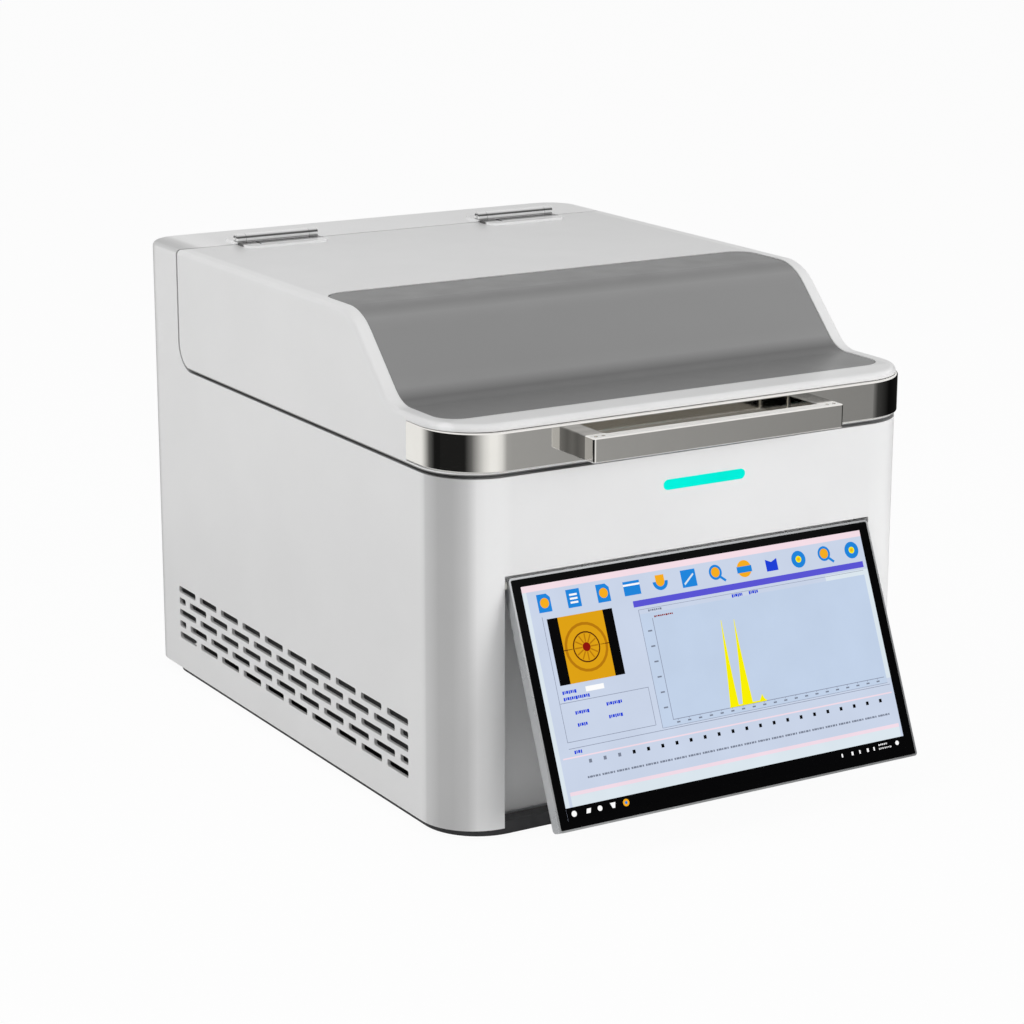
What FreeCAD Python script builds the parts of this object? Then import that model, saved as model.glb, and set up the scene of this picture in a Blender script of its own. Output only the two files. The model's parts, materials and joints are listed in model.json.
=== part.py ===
"""Bench x-ray spectrometer with a lifting lid and a tilting touch display, in millimetres.

The instrument stands on a bench. +Z is up, the operator faces its -Y side, and the origin is
the middle of the whole footprint, from the foot of the tilted display to the rear of the cabinet.
"""
import FreeCAD, Part
import math
import os
import Sketcher

os.makedirs("parts", exist_ok=True)
Vector = FreeCAD.Vector
doc = FreeCAD.newDocument("XRaySpectrometer")
sheet = doc.addObject("Spreadsheet::Sheet", "Sizes")


class Size:
    """A length, angle or count with its number and the sheet expression that gives it."""

    def __init__(self, value, text):
        self.value = float(value)
        self.text = text

    def __add__(self, other):
        other = as_size(other)
        return Size(self.value + other.value, f"({self.text} + {other.text})")

    def __sub__(self, other):
        other = as_size(other)
        return Size(self.value - other.value, f"({self.text} - {other.text})")

    def __mul__(self, other):
        other = as_size(other)
        return Size(self.value * other.value, f"({self.text} * {other.text})")

    def __truediv__(self, other):
        other = as_size(other)
        return Size(self.value / other.value, f"({self.text} / {other.text})")

    def __rsub__(self, other):
        return as_size(other) - self

    def __neg__(self):
        return Size(-self.value, f"(0 - {self.text})")

    __radd__ = __add__
    __rmul__ = __mul__


def as_size(number):
    """Give a plain number or a size as a size."""
    return number if isinstance(number, Size) else Size(number, repr(float(number)))


def sine(angle):
    """Sine of an angle in degrees."""
    return Size(math.sin(math.radians(angle.value)), f"sin({angle.text} * 1deg)")


def cosine(angle):
    """Cosine of an angle in degrees."""
    return Size(math.cos(math.radians(angle.value)), f"cos({angle.text} * 1deg)")


def tangent(angle):
    """Tangent of an angle in degrees."""
    return Size(math.tan(math.radians(angle.value)), f"tan({angle.text} * 1deg)")


rows = []


def size(name, value):
    """Put one driving size in the sheet under its own name and give it back."""
    rows.append(name)
    cell = f"B{len(rows)}"
    sheet.set(f"A{len(rows)}", name)
    sheet.set(cell, str(value))
    sheet.setAlias(cell, name)
    return Size(value, f"Sizes.{name}")


class Loop:
    """A closed outline of straight sides; a corner is (u, v) or (u, v, radius)."""

    def __init__(self, *corners):
        self.corners = [tuple(as_size(number) for number in corner) for corner in corners]

    def draw(self, sketch, rules):
        points = [Vector(c[0].value, c[1].value, 0) for c in self.corners]
        count = len(points)
        bends = []
        for i, corner in enumerate(self.corners):
            back = (points[i - 1] - points[i]).normalize()
            ahead = (points[(i + 1) % count] - points[i]).normalize()
            radius = corner[2].value if len(corner) == 3 else 0
            half = back.getAngle(ahead) / 2
            reach = radius / math.tan(half)
            centre = points[i] + (back + ahead).normalize() * (radius / math.sin(half))
            turn = (points[i] - points[i - 1]).cross(points[(i + 1) % count] - points[i]).z
            bends.append((points[i] + back * reach, points[i] + ahead * reach, centre, radius, turn > 0))
        sides = []
        for i in range(count):
            side = Part.LineSegment(bends[i][1], bends[(i + 1) % count][0])
            sides.append(sketch.addGeometry(side, False))
        for i, corner in enumerate(self.corners):
            before, after = sides[i - 1], sides[i]
            start, end, centre, radius, left = bends[i]
            if not radius:
                rules.append((("Coincident", before, 2, after, 1), None))
                tie(rules, after, 1, corner[0], corner[1])
                continue
            angles = [math.atan2(p.y - centre.y, p.x - centre.x) for p in (start, end)]
            first, last = angles if left else reversed(angles)
            if last < first:
                last += 2 * math.pi
            circle = Part.Circle(centre, Vector(0, 0, 1), radius)
            arc = sketch.addGeometry(Part.ArcOfCircle(circle, first, last), False)
            near, far = (1, 2) if left else (2, 1)
            rules.append((("Tangent", before, 2, arc, near), None))
            rules.append((("Tangent", after, 1, arc, far), None))
            rules.append((("Radius", arc, radius), corner[2]))
            point = sketch.addGeometry(Part.Point(points[i]), True)
            rules.append((("PointOnObject", point, 1, before), None))
            rules.append((("PointOnObject", point, 1, after), None))
            tie(rules, point, 1, corner[0], corner[1])


class Ring:
    """A full circle."""

    def __init__(self, u, v, radius):
        self.u, self.v, self.radius = as_size(u), as_size(v), as_size(radius)

    def draw(self, sketch, rules):
        centre = Vector(self.u.value, self.v.value, 0)
        circle = sketch.addGeometry(Part.Circle(centre, Vector(0, 0, 1), self.radius.value), False)
        tie(rules, circle, 3, self.u, self.v)
        rules.append((("Radius", circle, self.radius.value), self.radius))


def tie(rules, item, point, u, v):
    """Fix a point of a sketch at its two coordinates."""
    rules.append((("DistanceX", -1, 1, item, point, u.value), u))
    rules.append((("DistanceY", -1, 1, item, point, v.value), v))


def oblong(u0, v0, u1, v1, *radius):
    """A rectangle between two corners, with one radius or none."""
    return Loop((u0, v0, *radius), (u1, v0, *radius), (u1, v1, *radius), (u0, v1, *radius))


class Solid:
    """A body that is built up from sketches, each bound to the sheet."""

    def __init__(self, label):
        self.body = doc.addObject("PartDesign::Body", label)
        self.body.Label = label

    def origin(self, role):
        """Find one of the body's own base planes or axes."""
        return next(item for item in self.body.Origin.OriginFeatures if item.Role == role)

    def sketch(self, plane, level, loops):
        drawing = self.body.newObject("Sketcher::SketchObject", "Outline")
        drawing.AttachmentSupport = (self.origin(plane + "_Plane"), [""])
        drawing.MapMode = "FlatFace"
        offset = -level if plane == "XZ" else level
        drawing.setExpression("AttachmentOffset.Base.z", offset.text)
        rules = []
        for loop in loops:
            loop.draw(drawing, rules)
        places = drawing.addConstraint([Sketcher.Constraint(*words) for words, value in rules])
        for place, (words, value) in zip(places, rules):
            if value:
                drawing.setExpression(f"Constraints[{place}]", value.text)
        return drawing

    def pad(self, plane, low, high, *loops):
        """Fill the outline between two levels along the plane's axis."""
        low, high = as_size(low), as_size(high)
        feature = self.body.newObject("PartDesign::Pad", "Pad")
        feature.Profile = self.sketch(plane, high if plane == "XZ" else low, loops)
        feature.setExpression("Length", (high - low).text)
        self.body.Tip = feature
        return feature

    def pocket(self, plane, low, high, *loops):
        """Cut the outline away between two levels along the plane's axis."""
        low, high = as_size(low), as_size(high)
        feature = self.body.newObject("PartDesign::Pocket", "Pocket")
        feature.Profile = self.sketch(plane, low if plane == "XZ" else high, loops)
        feature.setExpression("Length", (high - low).text)
        self.body.Tip = feature
        return feature

    def repeat(self, feature, axis, spacing, count):
        """Repeat one feature along an axis."""
        pattern = self.body.newObject("PartDesign::LinearPattern", "Row")
        pattern.Originals = [feature]
        pattern.Direction = (self.origin(axis + "_Axis"), [""])
        pattern.Mode = "Spacing"
        pattern.setExpression("Offset", as_size(spacing).text)
        pattern.setExpression("Occurrences", as_size(count).text)
        self.body.Tip = pattern
        return pattern

    def circle_round(self, feature, axis, count):
        """Repeat one feature evenly round an axis."""
        pattern = self.body.newObject("PartDesign::PolarPattern", "Round")
        pattern.Originals = [feature]
        pattern.Axis = (self.origin(axis + "_Axis"), [""])
        pattern.Angle = 360
        pattern.setExpression("Occurrences", as_size(count).text)
        self.body.Tip = pattern
        return pattern

    def edges(self, wanted):
        """Names of the edges for which the test on their two ends is true."""
        doc.recompute()
        names = []
        for i, edge in enumerate(self.body.Tip.Shape.Edges):
            ends = edge.BoundBox
            if wanted(ends, edge):
                names.append(f"Edge{i + 1}")
        return names

    def blend(self, radius, wanted):
        """Round the chosen edges."""
        names = self.edges(wanted)
        base = self.body.Tip
        feature = self.body.newObject("PartDesign::Fillet", "Fillet")
        feature.Base = (base, names)
        feature.setExpression("Radius", as_size(radius).text)
        self.body.Tip = feature
        return feature

    def bevel(self, width, wanted):
        """Chamfer the chosen edges."""
        names = self.edges(wanted)
        base = self.body.Tip
        feature = self.body.newObject("PartDesign::Chamfer", "Chamfer")
        feature.Base = (base, names)
        feature.setExpression("Size", as_size(width).text)
        self.body.Tip = feature
        return feature

    def hollow(self, thickness, wanted):
        """Leave a wall of one thickness and open the chosen faces."""
        doc.recompute()
        faces = self.body.Tip.Shape.Faces
        names = [f"Face{i + 1}" for i, face in enumerate(faces) if wanted(face.BoundBox)]
        base = self.body.Tip
        feature = self.body.newObject("PartDesign::Thickness", "Shell")
        feature.Base = (base, names)
        feature.Reversed = True
        feature.setExpression("Value", as_size(thickness).text)
        self.body.Tip = feature
        return feature

    def take_away(self, other):
        """Cut another body's shape out of this one."""
        feature = self.body.newObject("PartDesign::Boolean", "Cut")
        feature.Type = "Cut"
        feature.setObjects([other.body])
        self.body.Tip = feature
        return feature

    def place(self, x, y, z, axis=None, angle=None):
        """Set the body down at a point, turned about one axis."""
        for letter, value in zip("xyz", (x, y, z)):
            self.body.setExpression(f"Placement.Base.{letter}", as_size(value).text)
        if axis:
            for letter in "xyz":
                share = "1" if letter == axis.lower() else "0"
                self.body.setExpression(f"Placement.Rotation.Axis.{letter}", share)
            self.body.setExpression("Placement.Rotation.Angle", as_size(angle).text)
        return self


def near(a, b):
    """Whether two lengths are the same for the choice of an edge or a face."""
    return abs(a - as_size(b).value) < 1e-3


# Cabinet
cabinet_width = size("cabinet_width", 400)
cabinet_depth = size("cabinet_depth", 506)
cabinet_height = size("cabinet_height", 358)
front_corner = size("front_corner_radius", 42.6)
rear_corner = size("rear_corner_radius", 28)
wall = size("cabinet_wall", 2.5)
edge_round = size("cabinet_edge_radius", 4)
fit = size("fit_gap", 0.3)
running = size("running_clearance", 0.05)

# Base tray and feet
foot_height = size("foot_height", 2)
foot_radius = size("foot_radius", 14)
foot_inset = size("foot_inset", 46)
tray_top = size("tray_top_height", 7)
tray_floor = size("tray_floor_thickness", 2.5)
tray_side_inset = size("tray_side_inset", 4)
tray_front_inset = size("tray_front_inset", 1.5)
tray_rear_inset = size("tray_rear_inset", 25)
tray_rim = size("tray_rim_width", 12)
tray_lug = size("tray_lug_height", 16)
tray_lug_thick = size("tray_lug_thickness", 2)
baffle_gap = size("baffle_behind_slots", 12.5)
baffle_thick = size("baffle_thickness", 1.5)
sill_height = size("sill_height", 12)

# Seam between the cabinet and the lid
rim_height = size("cabinet_rim_height", 262)
seam = size("seam_gap", 2.4)
bridge_depth = size("rear_bridge_depth", 66.8)
seam_round = size("lid_heel_radius", 20)

# Lid
lid_wall = size("lid_wall", 3)
ledge_height = size("ledge_height", 300)
slope_angle = size("slope_angle", 45)
crest_back = size("crest_from_front", 144.4)
crest_round = size("crest_radius", 45)
hollow_round = size("slope_foot_radius", 30)
cover_half = size("front_cover_half_width", 188.5)
cover_front = size("front_cover_front_inset", 26.5)
cover_back = size("front_cover_rear_inset", 210.5)
cover_corner = size("front_cover_corner_radius", 18)
cover_thick = size("front_cover_thickness", 1.5)
cover_sink = size("front_cover_sink", 0.5)
cover_gap = size("front_cover_gap", 0.6)

# Chrome band and pull handle
band_low = size("band_low_edge", 266.4)
band_high = size("band_high_edge", 295)
band_proud = size("band_proud", 4.5)
band_seat = size("band_seat_depth", 2.2)
band_back = size("band_length_back", 61)
band_corner = size("band_corner_radius", 46)
band_side_proud = size("band_side_proud", 0.4)
handle_half = size("handle_half_width", 106)
handle_leg = size("handle_leg_width", 16)
handle_reach = size("handle_reach", 28)
handle_bar = size("handle_bar_thickness", 11)
handle_low = size("handle_low_edge", 272)
handle_high = size("handle_high_edge", 289.5)
handle_screw = size("handle_screw_radius", 2)
handle_screw_grip = size("handle_screw_grip", 14)
screw_head = size("screw_head_radius", 4)
screw_head_tall = size("screw_head_height", 2.6)

# Lid hinges
hinge_half_pitch = size("hinge_half_pitch", 112)
hinge_half = size("hinge_half_width", 36)
hinge_barrel = size("hinge_barrel_radius", 4.1)
hinge_lift = size("hinge_barrel_above_top", 0.1)
hinge_pin = size("hinge_pin_radius", 1.5)
hinge_leaf = size("hinge_leaf_thickness", 2)
hinge_leaf_long = size("hinge_leaf_length", 21)
hinge_base_long = size("hinge_base_length", 18)
knuckle_half = size("hinge_middle_knuckle_half", 28)
knuckle_gap = size("hinge_knuckle_gap", 0.4)
notch_width = size("hinge_leaf_notch", 2)
hinge_notch = size("hinge_leaf_notch_place", 21.5)

# Display
display_width = size("display_width", 310)
display_tall = size("display_height", 178)
display_thick = size("display_thickness", 11.5)
display_tilt = size("display_rest_tilt", 23)
display_rim = size("display_rim", 1.4)
display_back_wall = size("display_back_wall", 1.8)
glass_thick = size("display_glass_thickness", 1.5)
panel_width = size("panel_width", 298)
panel_tall = size("panel_height", 169)
panel_thick = size("panel_thickness", 3.2)
pivot_down = size("pivot_below_top_edge", 3.5)
pivot_in = size("pivot_behind_front_face", 5.5)
pivot_out = size("pivot_behind_cabinet_front", 2.7)
pivot_height = size("pivot_height", 184.6)
pivot_radius = size("pivot_pin_radius", 1.6)
pivot_bite = size("pivot_bite_in_display", 6)
niche_side_gap = size("niche_side_gap", 2)
niche_top_gap = size("niche_top_gap", 3.5)
niche_deep = size("niche_depth", 18)

# Status light
light_left = size("light_left_edge", -26.7)
light_right = size("light_right_edge", 43.7)
light_low = size("light_low_edge", 235.6)
light_high = size("light_high_edge", 243.3)
light_proud = size("light_proud", 0.3)
light_flange = size("light_flange", 2)

# Ventilation slots
slot_long = size("slot_length", 31.5)
slot_tall = size("slot_height", 5.4)
slot_pitch = size("slot_pitch", 39.8)
slot_row_pitch = size("slot_row_pitch", 9.8)
slot_field_low = size("slot_field_low", 32.6)
slot_field_front = size("slot_field_from_front", 62)
slot_count = size("slots_in_a_row", 10)
slot_stub = size("slot_stub_length", 11.7)
slot_round = size("slot_corner_radius", 1.5)

# Places that follow from the sizes above
reach_back = sine(display_tilt) * (display_tall - pivot_down)
display_reach = reach_back + cosine(display_tilt) * pivot_in - pivot_out
front_y = (display_reach - cabinet_depth) / 2
rear_y = (display_reach + cabinet_depth) / 2
half_width = cabinet_width / 2
bridge_y = rear_y - bridge_depth
lid_rear_y = bridge_y - seam
lid_bottom = rim_height + seam
hinge_y = bridge_y - seam / 2
hinge_z = cabinet_height + hinge_barrel + hinge_lift
crest_y = front_y + crest_back
slope_y = crest_y - (cabinet_height - ledge_height) / tangent(slope_angle)
half_turn = tangent(slope_angle / 2)
pivot_y = front_y + pivot_out
niche_half = display_width / 2 + niche_side_gap
niche_top = pivot_height + pivot_down + niche_top_gap
tray_bottom = foot_height
floor_z = foot_height + tray_floor

# Sample chamber
chamber_half = size("chamber_half_width", 150)
chamber_front_in = size("chamber_from_front", 62)
chamber_rear_in = size("chamber_from_bridge", 42)
chamber_corner = size("chamber_corner_radius", 14)
chamber_deep = size("chamber_depth", 45)
chamber_sheet = size("chamber_sheet", 1.5)
chamber_flange = size("chamber_flange", 9)
spot_back = size("measuring_spot_from_front", 225)
spot_hole = size("window_hole_radius", 22)
ring_outer = size("window_ring_radius", 28)
ring_inner = size("window_ring_opening", 9)
ring_tall = size("window_ring_height", 2.5)
film_thick = size("window_film_thickness", 0.3)
chamber_front = front_y + chamber_front_in
chamber_rear = bridge_y - chamber_rear_in
chamber_floor = rim_height - chamber_deep
spot_y = front_y + spot_back

# Rear panel and small screws
rear_window_half = size("rear_window_half_width", 150)
rear_window_low = size("rear_window_low_edge", 24)
rear_window_high = size("rear_window_high_edge", 236)
rear_border = size("rear_panel_border", 9)
rear_sheet = size("rear_panel_thickness", 2)
small_screw = size("small_screw_radius", 1.5)
small_head = size("small_screw_head_radius", 2.8)
small_head_tall = size("small_screw_head_height", 1.6)
hinge_screw_half = size("hinge_screw_half_pitch", 24)
hinge_screw_back = size("hinge_screw_behind_axis", 13.5)
hinge_screw_y = hinge_y + hinge_screw_back

# Corners of the hinge leaves and the seal
leaf_corner = size("hinge_leaf_corner", 6)
seal_corner = size("seal_rear_corner", 5)

# Rounding and dimples of band and handle
band_edge = size("band_edge_radius", 1.2)
handle_edge = size("handle_edge_radius", 1)
dot_radius = size("handle_dimple_radius", 1.3)
dot_deep = size("handle_dimple_depth", 1)
dot_pitch = size("handle_dimple_pitch", 6)

# Inside of the lid
liner_inset = size("liner_inset", 15)
liner_sheet = size("liner_sheet", 1.2)
shield_thick = size("lid_shield_thickness", 2)
seal_width = size("lid_seal_width", 7)
magnet_side = size("interlock_magnet_side", 8)

# Back of the display
display_corner = size("display_corner_radius", 2.5)
display_edge = size("display_back_edge_radius", 3)
board_half = size("display_board_half_width", 60)
board_low = size("display_board_low_edge", 12)
board_tall = size("display_board_height", 60)
washer_radius = size("display_washer_radius", 3.2)

# Boards
light_gap = size("light_gap", 0.15)
board_sheet = size("board_sheet", 1.6)

# Fans, inlet, switch and ports
fan_half = size("fan_half_width", 40)
fan_deep = size("fan_depth", 25)
fan_half_pitch = size("fan_half_pitch", 70)
fan_z = size("fan_height", 178)
fan_hole = size("fan_hole_half_pitch", 35.75)
fan_bore = size("fan_bore_radius", 38)
fan_hub = size("fan_hub_radius", 18)
fan_tip_gap = size("fan_tip_gap", 3)
fan_blades = size("fan_blades", 7)
blade_lean = size("fan_blade_lean", 9)
blade_thick = size("fan_blade_thickness", 1.6)
fan_rib = size("fan_rib_width", 5)
fan_rib_deep = size("fan_rib_depth", 3)
grille_step = size("grille_ring_step", 9)
grille_web = size("grille_web", 4)
inlet_x = size("inlet_x", 110)
inlet_z = size("inlet_height", 62)
inlet_half = size("inlet_half_width", 13.5)
inlet_tall = size("inlet_half_height", 10)
inlet_wall = size("inlet_wall", 1.5)
inlet_deep = size("inlet_depth", 22)
inlet_ear = size("inlet_flange", 6.5)
switch_x = size("switch_x", 66)
switch_half = size("switch_half_width", 6.5)
switch_tall = size("switch_half_height", 9.5)
switch_deep = size("switch_depth", 18)
switch_frame = size("switch_frame", 1.5)
rocker_angle = size("rocker_angle", 16)
port_x = size("ports_x", 12)
port_half = size("ports_half_width", 18)
port_tall = size("ports_half_height", 8)
inlet_pin_pitch = size("inlet_pin_pitch", 7)
inlet_pin_rise = size("inlet_pin_rise", 2)
rocker_sink = size("rocker_axis_depth", 5)
usb_half_pitch = size("usb_half_pitch", 3.7)
usb_half_tall = size("usb_half_height", 2.4)
usb_wide = size("usb_width", 13)
usb_tongue = size("usb_tongue", 1.6)

# Optics plate, tube, filter wheel and motors
plate_z = size("optics_plate_height", 124)
plate_thick = size("optics_plate_thickness", 4)
plate_half = size("optics_plate_half_width", 96)
plate_front = size("optics_plate_front_reach", 118)
plate_rear = size("optics_plate_rear_reach", 84)
pillar_radius = size("pillar_radius", 5)
pillar_inset = size("pillar_inset", 9)
tube_radius = size("tube_radius", 30)
tube_long = size("tube_length", 92)
tube_flange = size("tube_flange_radius", 38)
tube_flange_thick = size("tube_flange_thickness", 4)
tube_neck = size("tube_neck_radius", 8)
sink_fins = size("tube_sink_fins", 6)
sink_pitch = size("tube_sink_pitch", 7)
sink_thick = size("tube_sink_fin_thickness", 2)
sink_reach = size("tube_sink_fin_reach", 10)
wheel_module = size("gear_module", 1)
tooth_root = size("gear_root_share", 1.2)
tooth_tip = size("gear_tip_share", 0.85)
wheel_teeth = 60
pinion_teeth = 15
wheel_gap = size("wheel_above_plate", 3)
wheel_thick = size("wheel_thickness", 3)
wheel_orbit = size("wheel_aperture_orbit", 20)
aperture = size("wheel_aperture_radius", 5)
wheel_axle = size("wheel_axle_radius", 3)
motor_half = size("motor_half_width", 14)
motor_tall = size("motor_height", 26)
shaft_radius = size("motor_shaft_radius", 2.5)
shaft_deep = size("motor_shaft_depth", 6)
wheel_z = plate_z + plate_thick + wheel_gap
plate_top = plate_z + plate_thick
wheel_x = -wheel_orbit
gear_centres = wheel_module * (wheel_teeth + pinion_teeth) / 2
pinion_x = wheel_x - gear_centres
tube_cable_rise = size("tube_cable_rise", 10)

# Collimator and beam tube
rail_front = size("collimator_rail_front", 30)
rail_rear = size("collimator_rail_rear", 52)
slide_half = size("collimator_half_width", 6)
slide_thick = size("collimator_thickness", 4)
slide_holes = 4
slide_pitch = size("collimator_hole_pitch", 12)
slide_hole = size("collimator_hole_radius", 1.5)
rail_thick = size("collimator_rail_thickness", 3)
screw_rod = size("lead_screw_radius", 2)
nut_reach = size("collimator_nut_reach", 16)
nut_half = size("collimator_nut_half", 4)
nut_long = size("collimator_nut_length", 8)
nut_tall = size("collimator_nut_height", 12)
guide_foot = size("collimator_guide_foot", 5)
beam_outer = size("beam_tube_radius", 4)
beam_inner = size("beam_tube_bore", 2.5)
beam_base = size("beam_tube_base_half", 5)
beam_base_thick = size("beam_tube_base_thickness", 2)
beam_end_gap = size("beam_tube_end_gap", 22)
screw_motor_half = size("screw_motor_half_width", 10)
screw_motor_long = size("screw_motor_length", 24)
screw_motor_back = size("screw_motor_from_spot", 58)
spot_z = chamber_floor
slide_z = wheel_z + wheel_thick + rail_thick + fit * 3
rail_x = slide_half + fit
rod_z = slide_z + slide_thick / 2

# Detector and camera
detector_angle = size("detector_angle", 45)
detector_gap = size("detector_spot_distance", 24)
snout_radius = size("detector_snout_radius", 7)
snout_long = size("detector_snout_length", 20)
detector_half = size("detector_half_width", 17)
detector_long = size("detector_length", 62)
cheek_thick = size("bracket_cheek_thickness", 2)
camera_gap = size("camera_spot_distance", 40)
camera_lens = size("camera_lens_radius", 8)
camera_lens_long = size("camera_lens_length", 16)
camera_half = size("camera_half_width", 14)
camera_long = size("camera_length", 40)

# Generator, supply and circuit boards
generator_left = size("generator_left", -180)
generator_wide = size("generator_width", 120)
generator_front = size("generator_from_front", 310)
generator_deep = size("generator_depth", 112)
generator_tall = size("generator_height", 98)
generator_rib = size("generator_rib", 3)
cable_radius = size("high_voltage_cable_radius", 4.5)
cable_bend = size("high_voltage_cable_bend", 30)
cable_run = size("high_voltage_cable_run", 32)
gland_radius = size("cable_gland_radius", 8)
gland_long = size("cable_gland_length", 6)
supply_left = size("supply_left", 62)
supply_wide = size("supply_width", 118)
supply_deep = size("supply_depth", 128)
supply_tall = size("supply_height", 62)
supply_front = size("supply_from_front", 305)
standoff = size("board_standoff", 7)
standoff_radius = size("board_standoff_radius", 3)
board_inset = size("board_hole_inset", 6)
main_left = size("main_board_left", -176)
main_wide = size("main_board_width", 150)
main_front = size("main_board_from_front", 34)
main_deep = size("main_board_depth", 122)
pulse_left = size("pulse_board_left", 44)
pulse_wide = size("pulse_board_width", 126)
pulse_front = size("pulse_board_from_front", 40)
pulse_deep = size("pulse_board_depth", 96)
chip_side = size("chip_side", 26)
chip_tall = size("chip_height", 2.4)
fin_tall = size("board_fin_height", 12)
fin_thick = size("board_fin_thickness", 1.6)
fin_pitch = size("board_fin_pitch", 4.2)
plug_wide = size("board_plug_width", 20)
plug_deep = size("board_plug_depth", 9)
plug_tall = size("board_plug_height", 10)
board_z = floor_z + standoff
board_top = board_z + board_sheet
cable_z = plate_z - tube_long + tube_cable_rise

kept = []


def keep(solid):
    """Count a solid among the sub-parts of the instrument."""
    kept.append(solid.body)
    return solid


def plan(inset, front, rear, front_radius, *rear_radius):
    """Outline of the cabinet seen from above, drawn in from its sides."""
    side = half_width - inset
    return Loop(
        (-side, front, front_radius), (side, front, front_radius),
        (side, rear, *rear_radius), (-side, rear, *rear_radius),
    )


def lid_side(inset, front, rear, bottom, *heel):
    """Side view of the lid, drawn in by an even amount from its outer skin."""
    shift = half_turn * inset
    return Loop(
        (front, bottom), (front, ledge_height - inset),
        (slope_y + shift, ledge_height - inset, hollow_round + inset),
        (crest_y + shift, cabinet_height - inset, crest_round - inset),
        (rear, cabinet_height - inset), (rear, bottom, *heel),
    )


def build_base_tray():
    """Steel tray that closes the cabinet from below, with its sill under the display niche."""
    tray = keep(Solid("base_tray"))
    front = front_y + tray_front_inset
    rear = rear_y - tray_rear_inset
    tray.pad("XY", tray_bottom, tray_top, plan(tray_side_inset, front, rear, front_corner, rear_corner))
    inner = plan(tray_side_inset + tray_rim, front + tray_rim + niche_deep, rear - tray_rim, tray_rim)
    tray.pocket("XY", floor_z, tray_top, inner)
    sill_half = niche_half - fit
    sill = oblong(-sill_half, front, sill_half, front_y + niche_deep - wall * 2)
    tray.pad("XY", tray_top, sill_height, sill)
    for low, high in ((-half_width + wall, -half_width + wall + tray_lug_thick),
                      (half_width - wall - tray_lug_thick, half_width - wall)):
        tray.pad("XY", floor_z, tray_top + tray_lug, oblong(
            low, front_y + front_corner * 2, high, rear_y - front_corner * 2))
    inner_side = half_width - wall - baffle_gap
    high = slot_field_low + slot_row_pitch * 4 + slot_tall + slot_row_pitch
    for side in (-1, 1):
        middle = (inner_side - baffle_thick / 2) * side
        tray.pad("XY", floor_z - fit, high, oblong(
            middle - baffle_thick / 2, front_y + slot_field_front - slot_row_pitch,
            middle + baffle_thick / 2, rear_y - front_corner - slot_row_pitch))
    left = -half_width + foot_inset * 2
    front = front_y + cabinet_depth / 2
    vents = [oblong(
        left, front + slot_row_pitch * 2 * row,
        left + slot_long, front + slot_row_pitch * 2 * row + slot_tall, slot_round,
    ) for row in range(3)]
    first = tray.pocket("XY", tray_bottom, floor_z, *vents)
    tray.repeat(first, "X", slot_pitch, 5)


def build_feet():
    """Four rubber feet under the tray."""
    feet = keep(Solid("rubber_feet"))
    side = half_width - foot_inset
    ends = (front_y + foot_inset, rear_y - foot_inset - tray_rear_inset)
    places = [(x, y) for x in (-side, side) for y in ends]
    feet.pad("XY", 0, foot_height, *[Ring(x, y, foot_radius) for x, y in places])


def cabinet_room():
    """Room inside the cabinet: the outer form drawn in by one wall."""
    room = Solid("cabinet_room")
    room.pad("XY", tray_top - seam, cabinet_height - wall, plan(
        wall, front_y + wall, rear_y - wall, front_corner - wall, rear_corner - wall))
    above, before = cabinet_height + seam, front_y - seam
    turn = seam_round + seam + wall
    room.pocket("YZ", -half_width, half_width, Loop(
        (before, rim_height - wall), (bridge_y + wall, rim_height - wall, turn),
        (bridge_y + wall, above), (before, above),
    ))
    side = niche_half + wall
    room.pocket("XZ", front_y, front_y + niche_deep + wall, oblong(-side, -seam, side, niche_top + wall))
    return room


def build_cabinet_shell():
    """White sheet-metal cabinet: slotted sides, display niche, top deck and rear bridge."""
    shell = keep(Solid("cabinet_shell"))
    shell.pad("XY", tray_top, cabinet_height, plan(as_size(0), front_y, rear_y, front_corner, rear_corner))
    above = cabinet_height + seam
    before = front_y - seam
    lid_room = Loop(
        (before, rim_height), (bridge_y, rim_height, seam_round + seam), (bridge_y, above), (before, above),
    )
    shell.pocket("YZ", -half_width - seam, half_width + seam, lid_room)
    niche = oblong(-niche_half, tray_top - seam, niche_half, niche_top)
    shell.pocket("XZ", front_y - seam, front_y + niche_deep, niche)
    shell.blend(edge_round, lambda box, edge: near(box.ZMin, cabinet_height) and (
        near(box.YMin, rear_y) or near(box.XMin, -half_width) or near(box.XMax, half_width))
        and not near(box.YMax, bridge_y))
    shell.take_away(cabinet_room())
    tray_room = oblong(-chamber_half, chamber_front, chamber_half, chamber_rear, chamber_corner)
    shell.pocket("XY", rim_height - wall, rim_height, tray_room)
    window = oblong(-rear_window_half, rear_window_low, rear_window_half, rear_window_high, wall)
    shell.pocket("XZ", rear_y - wall, rear_y, window)
    tall = (light_high - light_low) / 2
    lens = oblong(light_left, light_low, light_right, light_high, tall * 0.999)
    shell.pocket("XZ", front_y, front_y + wall, lens)
    pivot = Ring(pivot_y, pivot_height, pivot_radius + running)
    shell.pocket("YZ", -niche_half - wall, niche_half + wall, pivot)
    cut_slots(shell)
    for x in hinge_screw_places():
        screw = Ring(x, hinge_screw_y, small_screw)
        shell.pocket("XY", cabinet_height - wall, cabinet_height, screw)
    shell.pocket("XZ", rear_y - wall, rear_y, *rear_screw_rings(small_screw))


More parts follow.
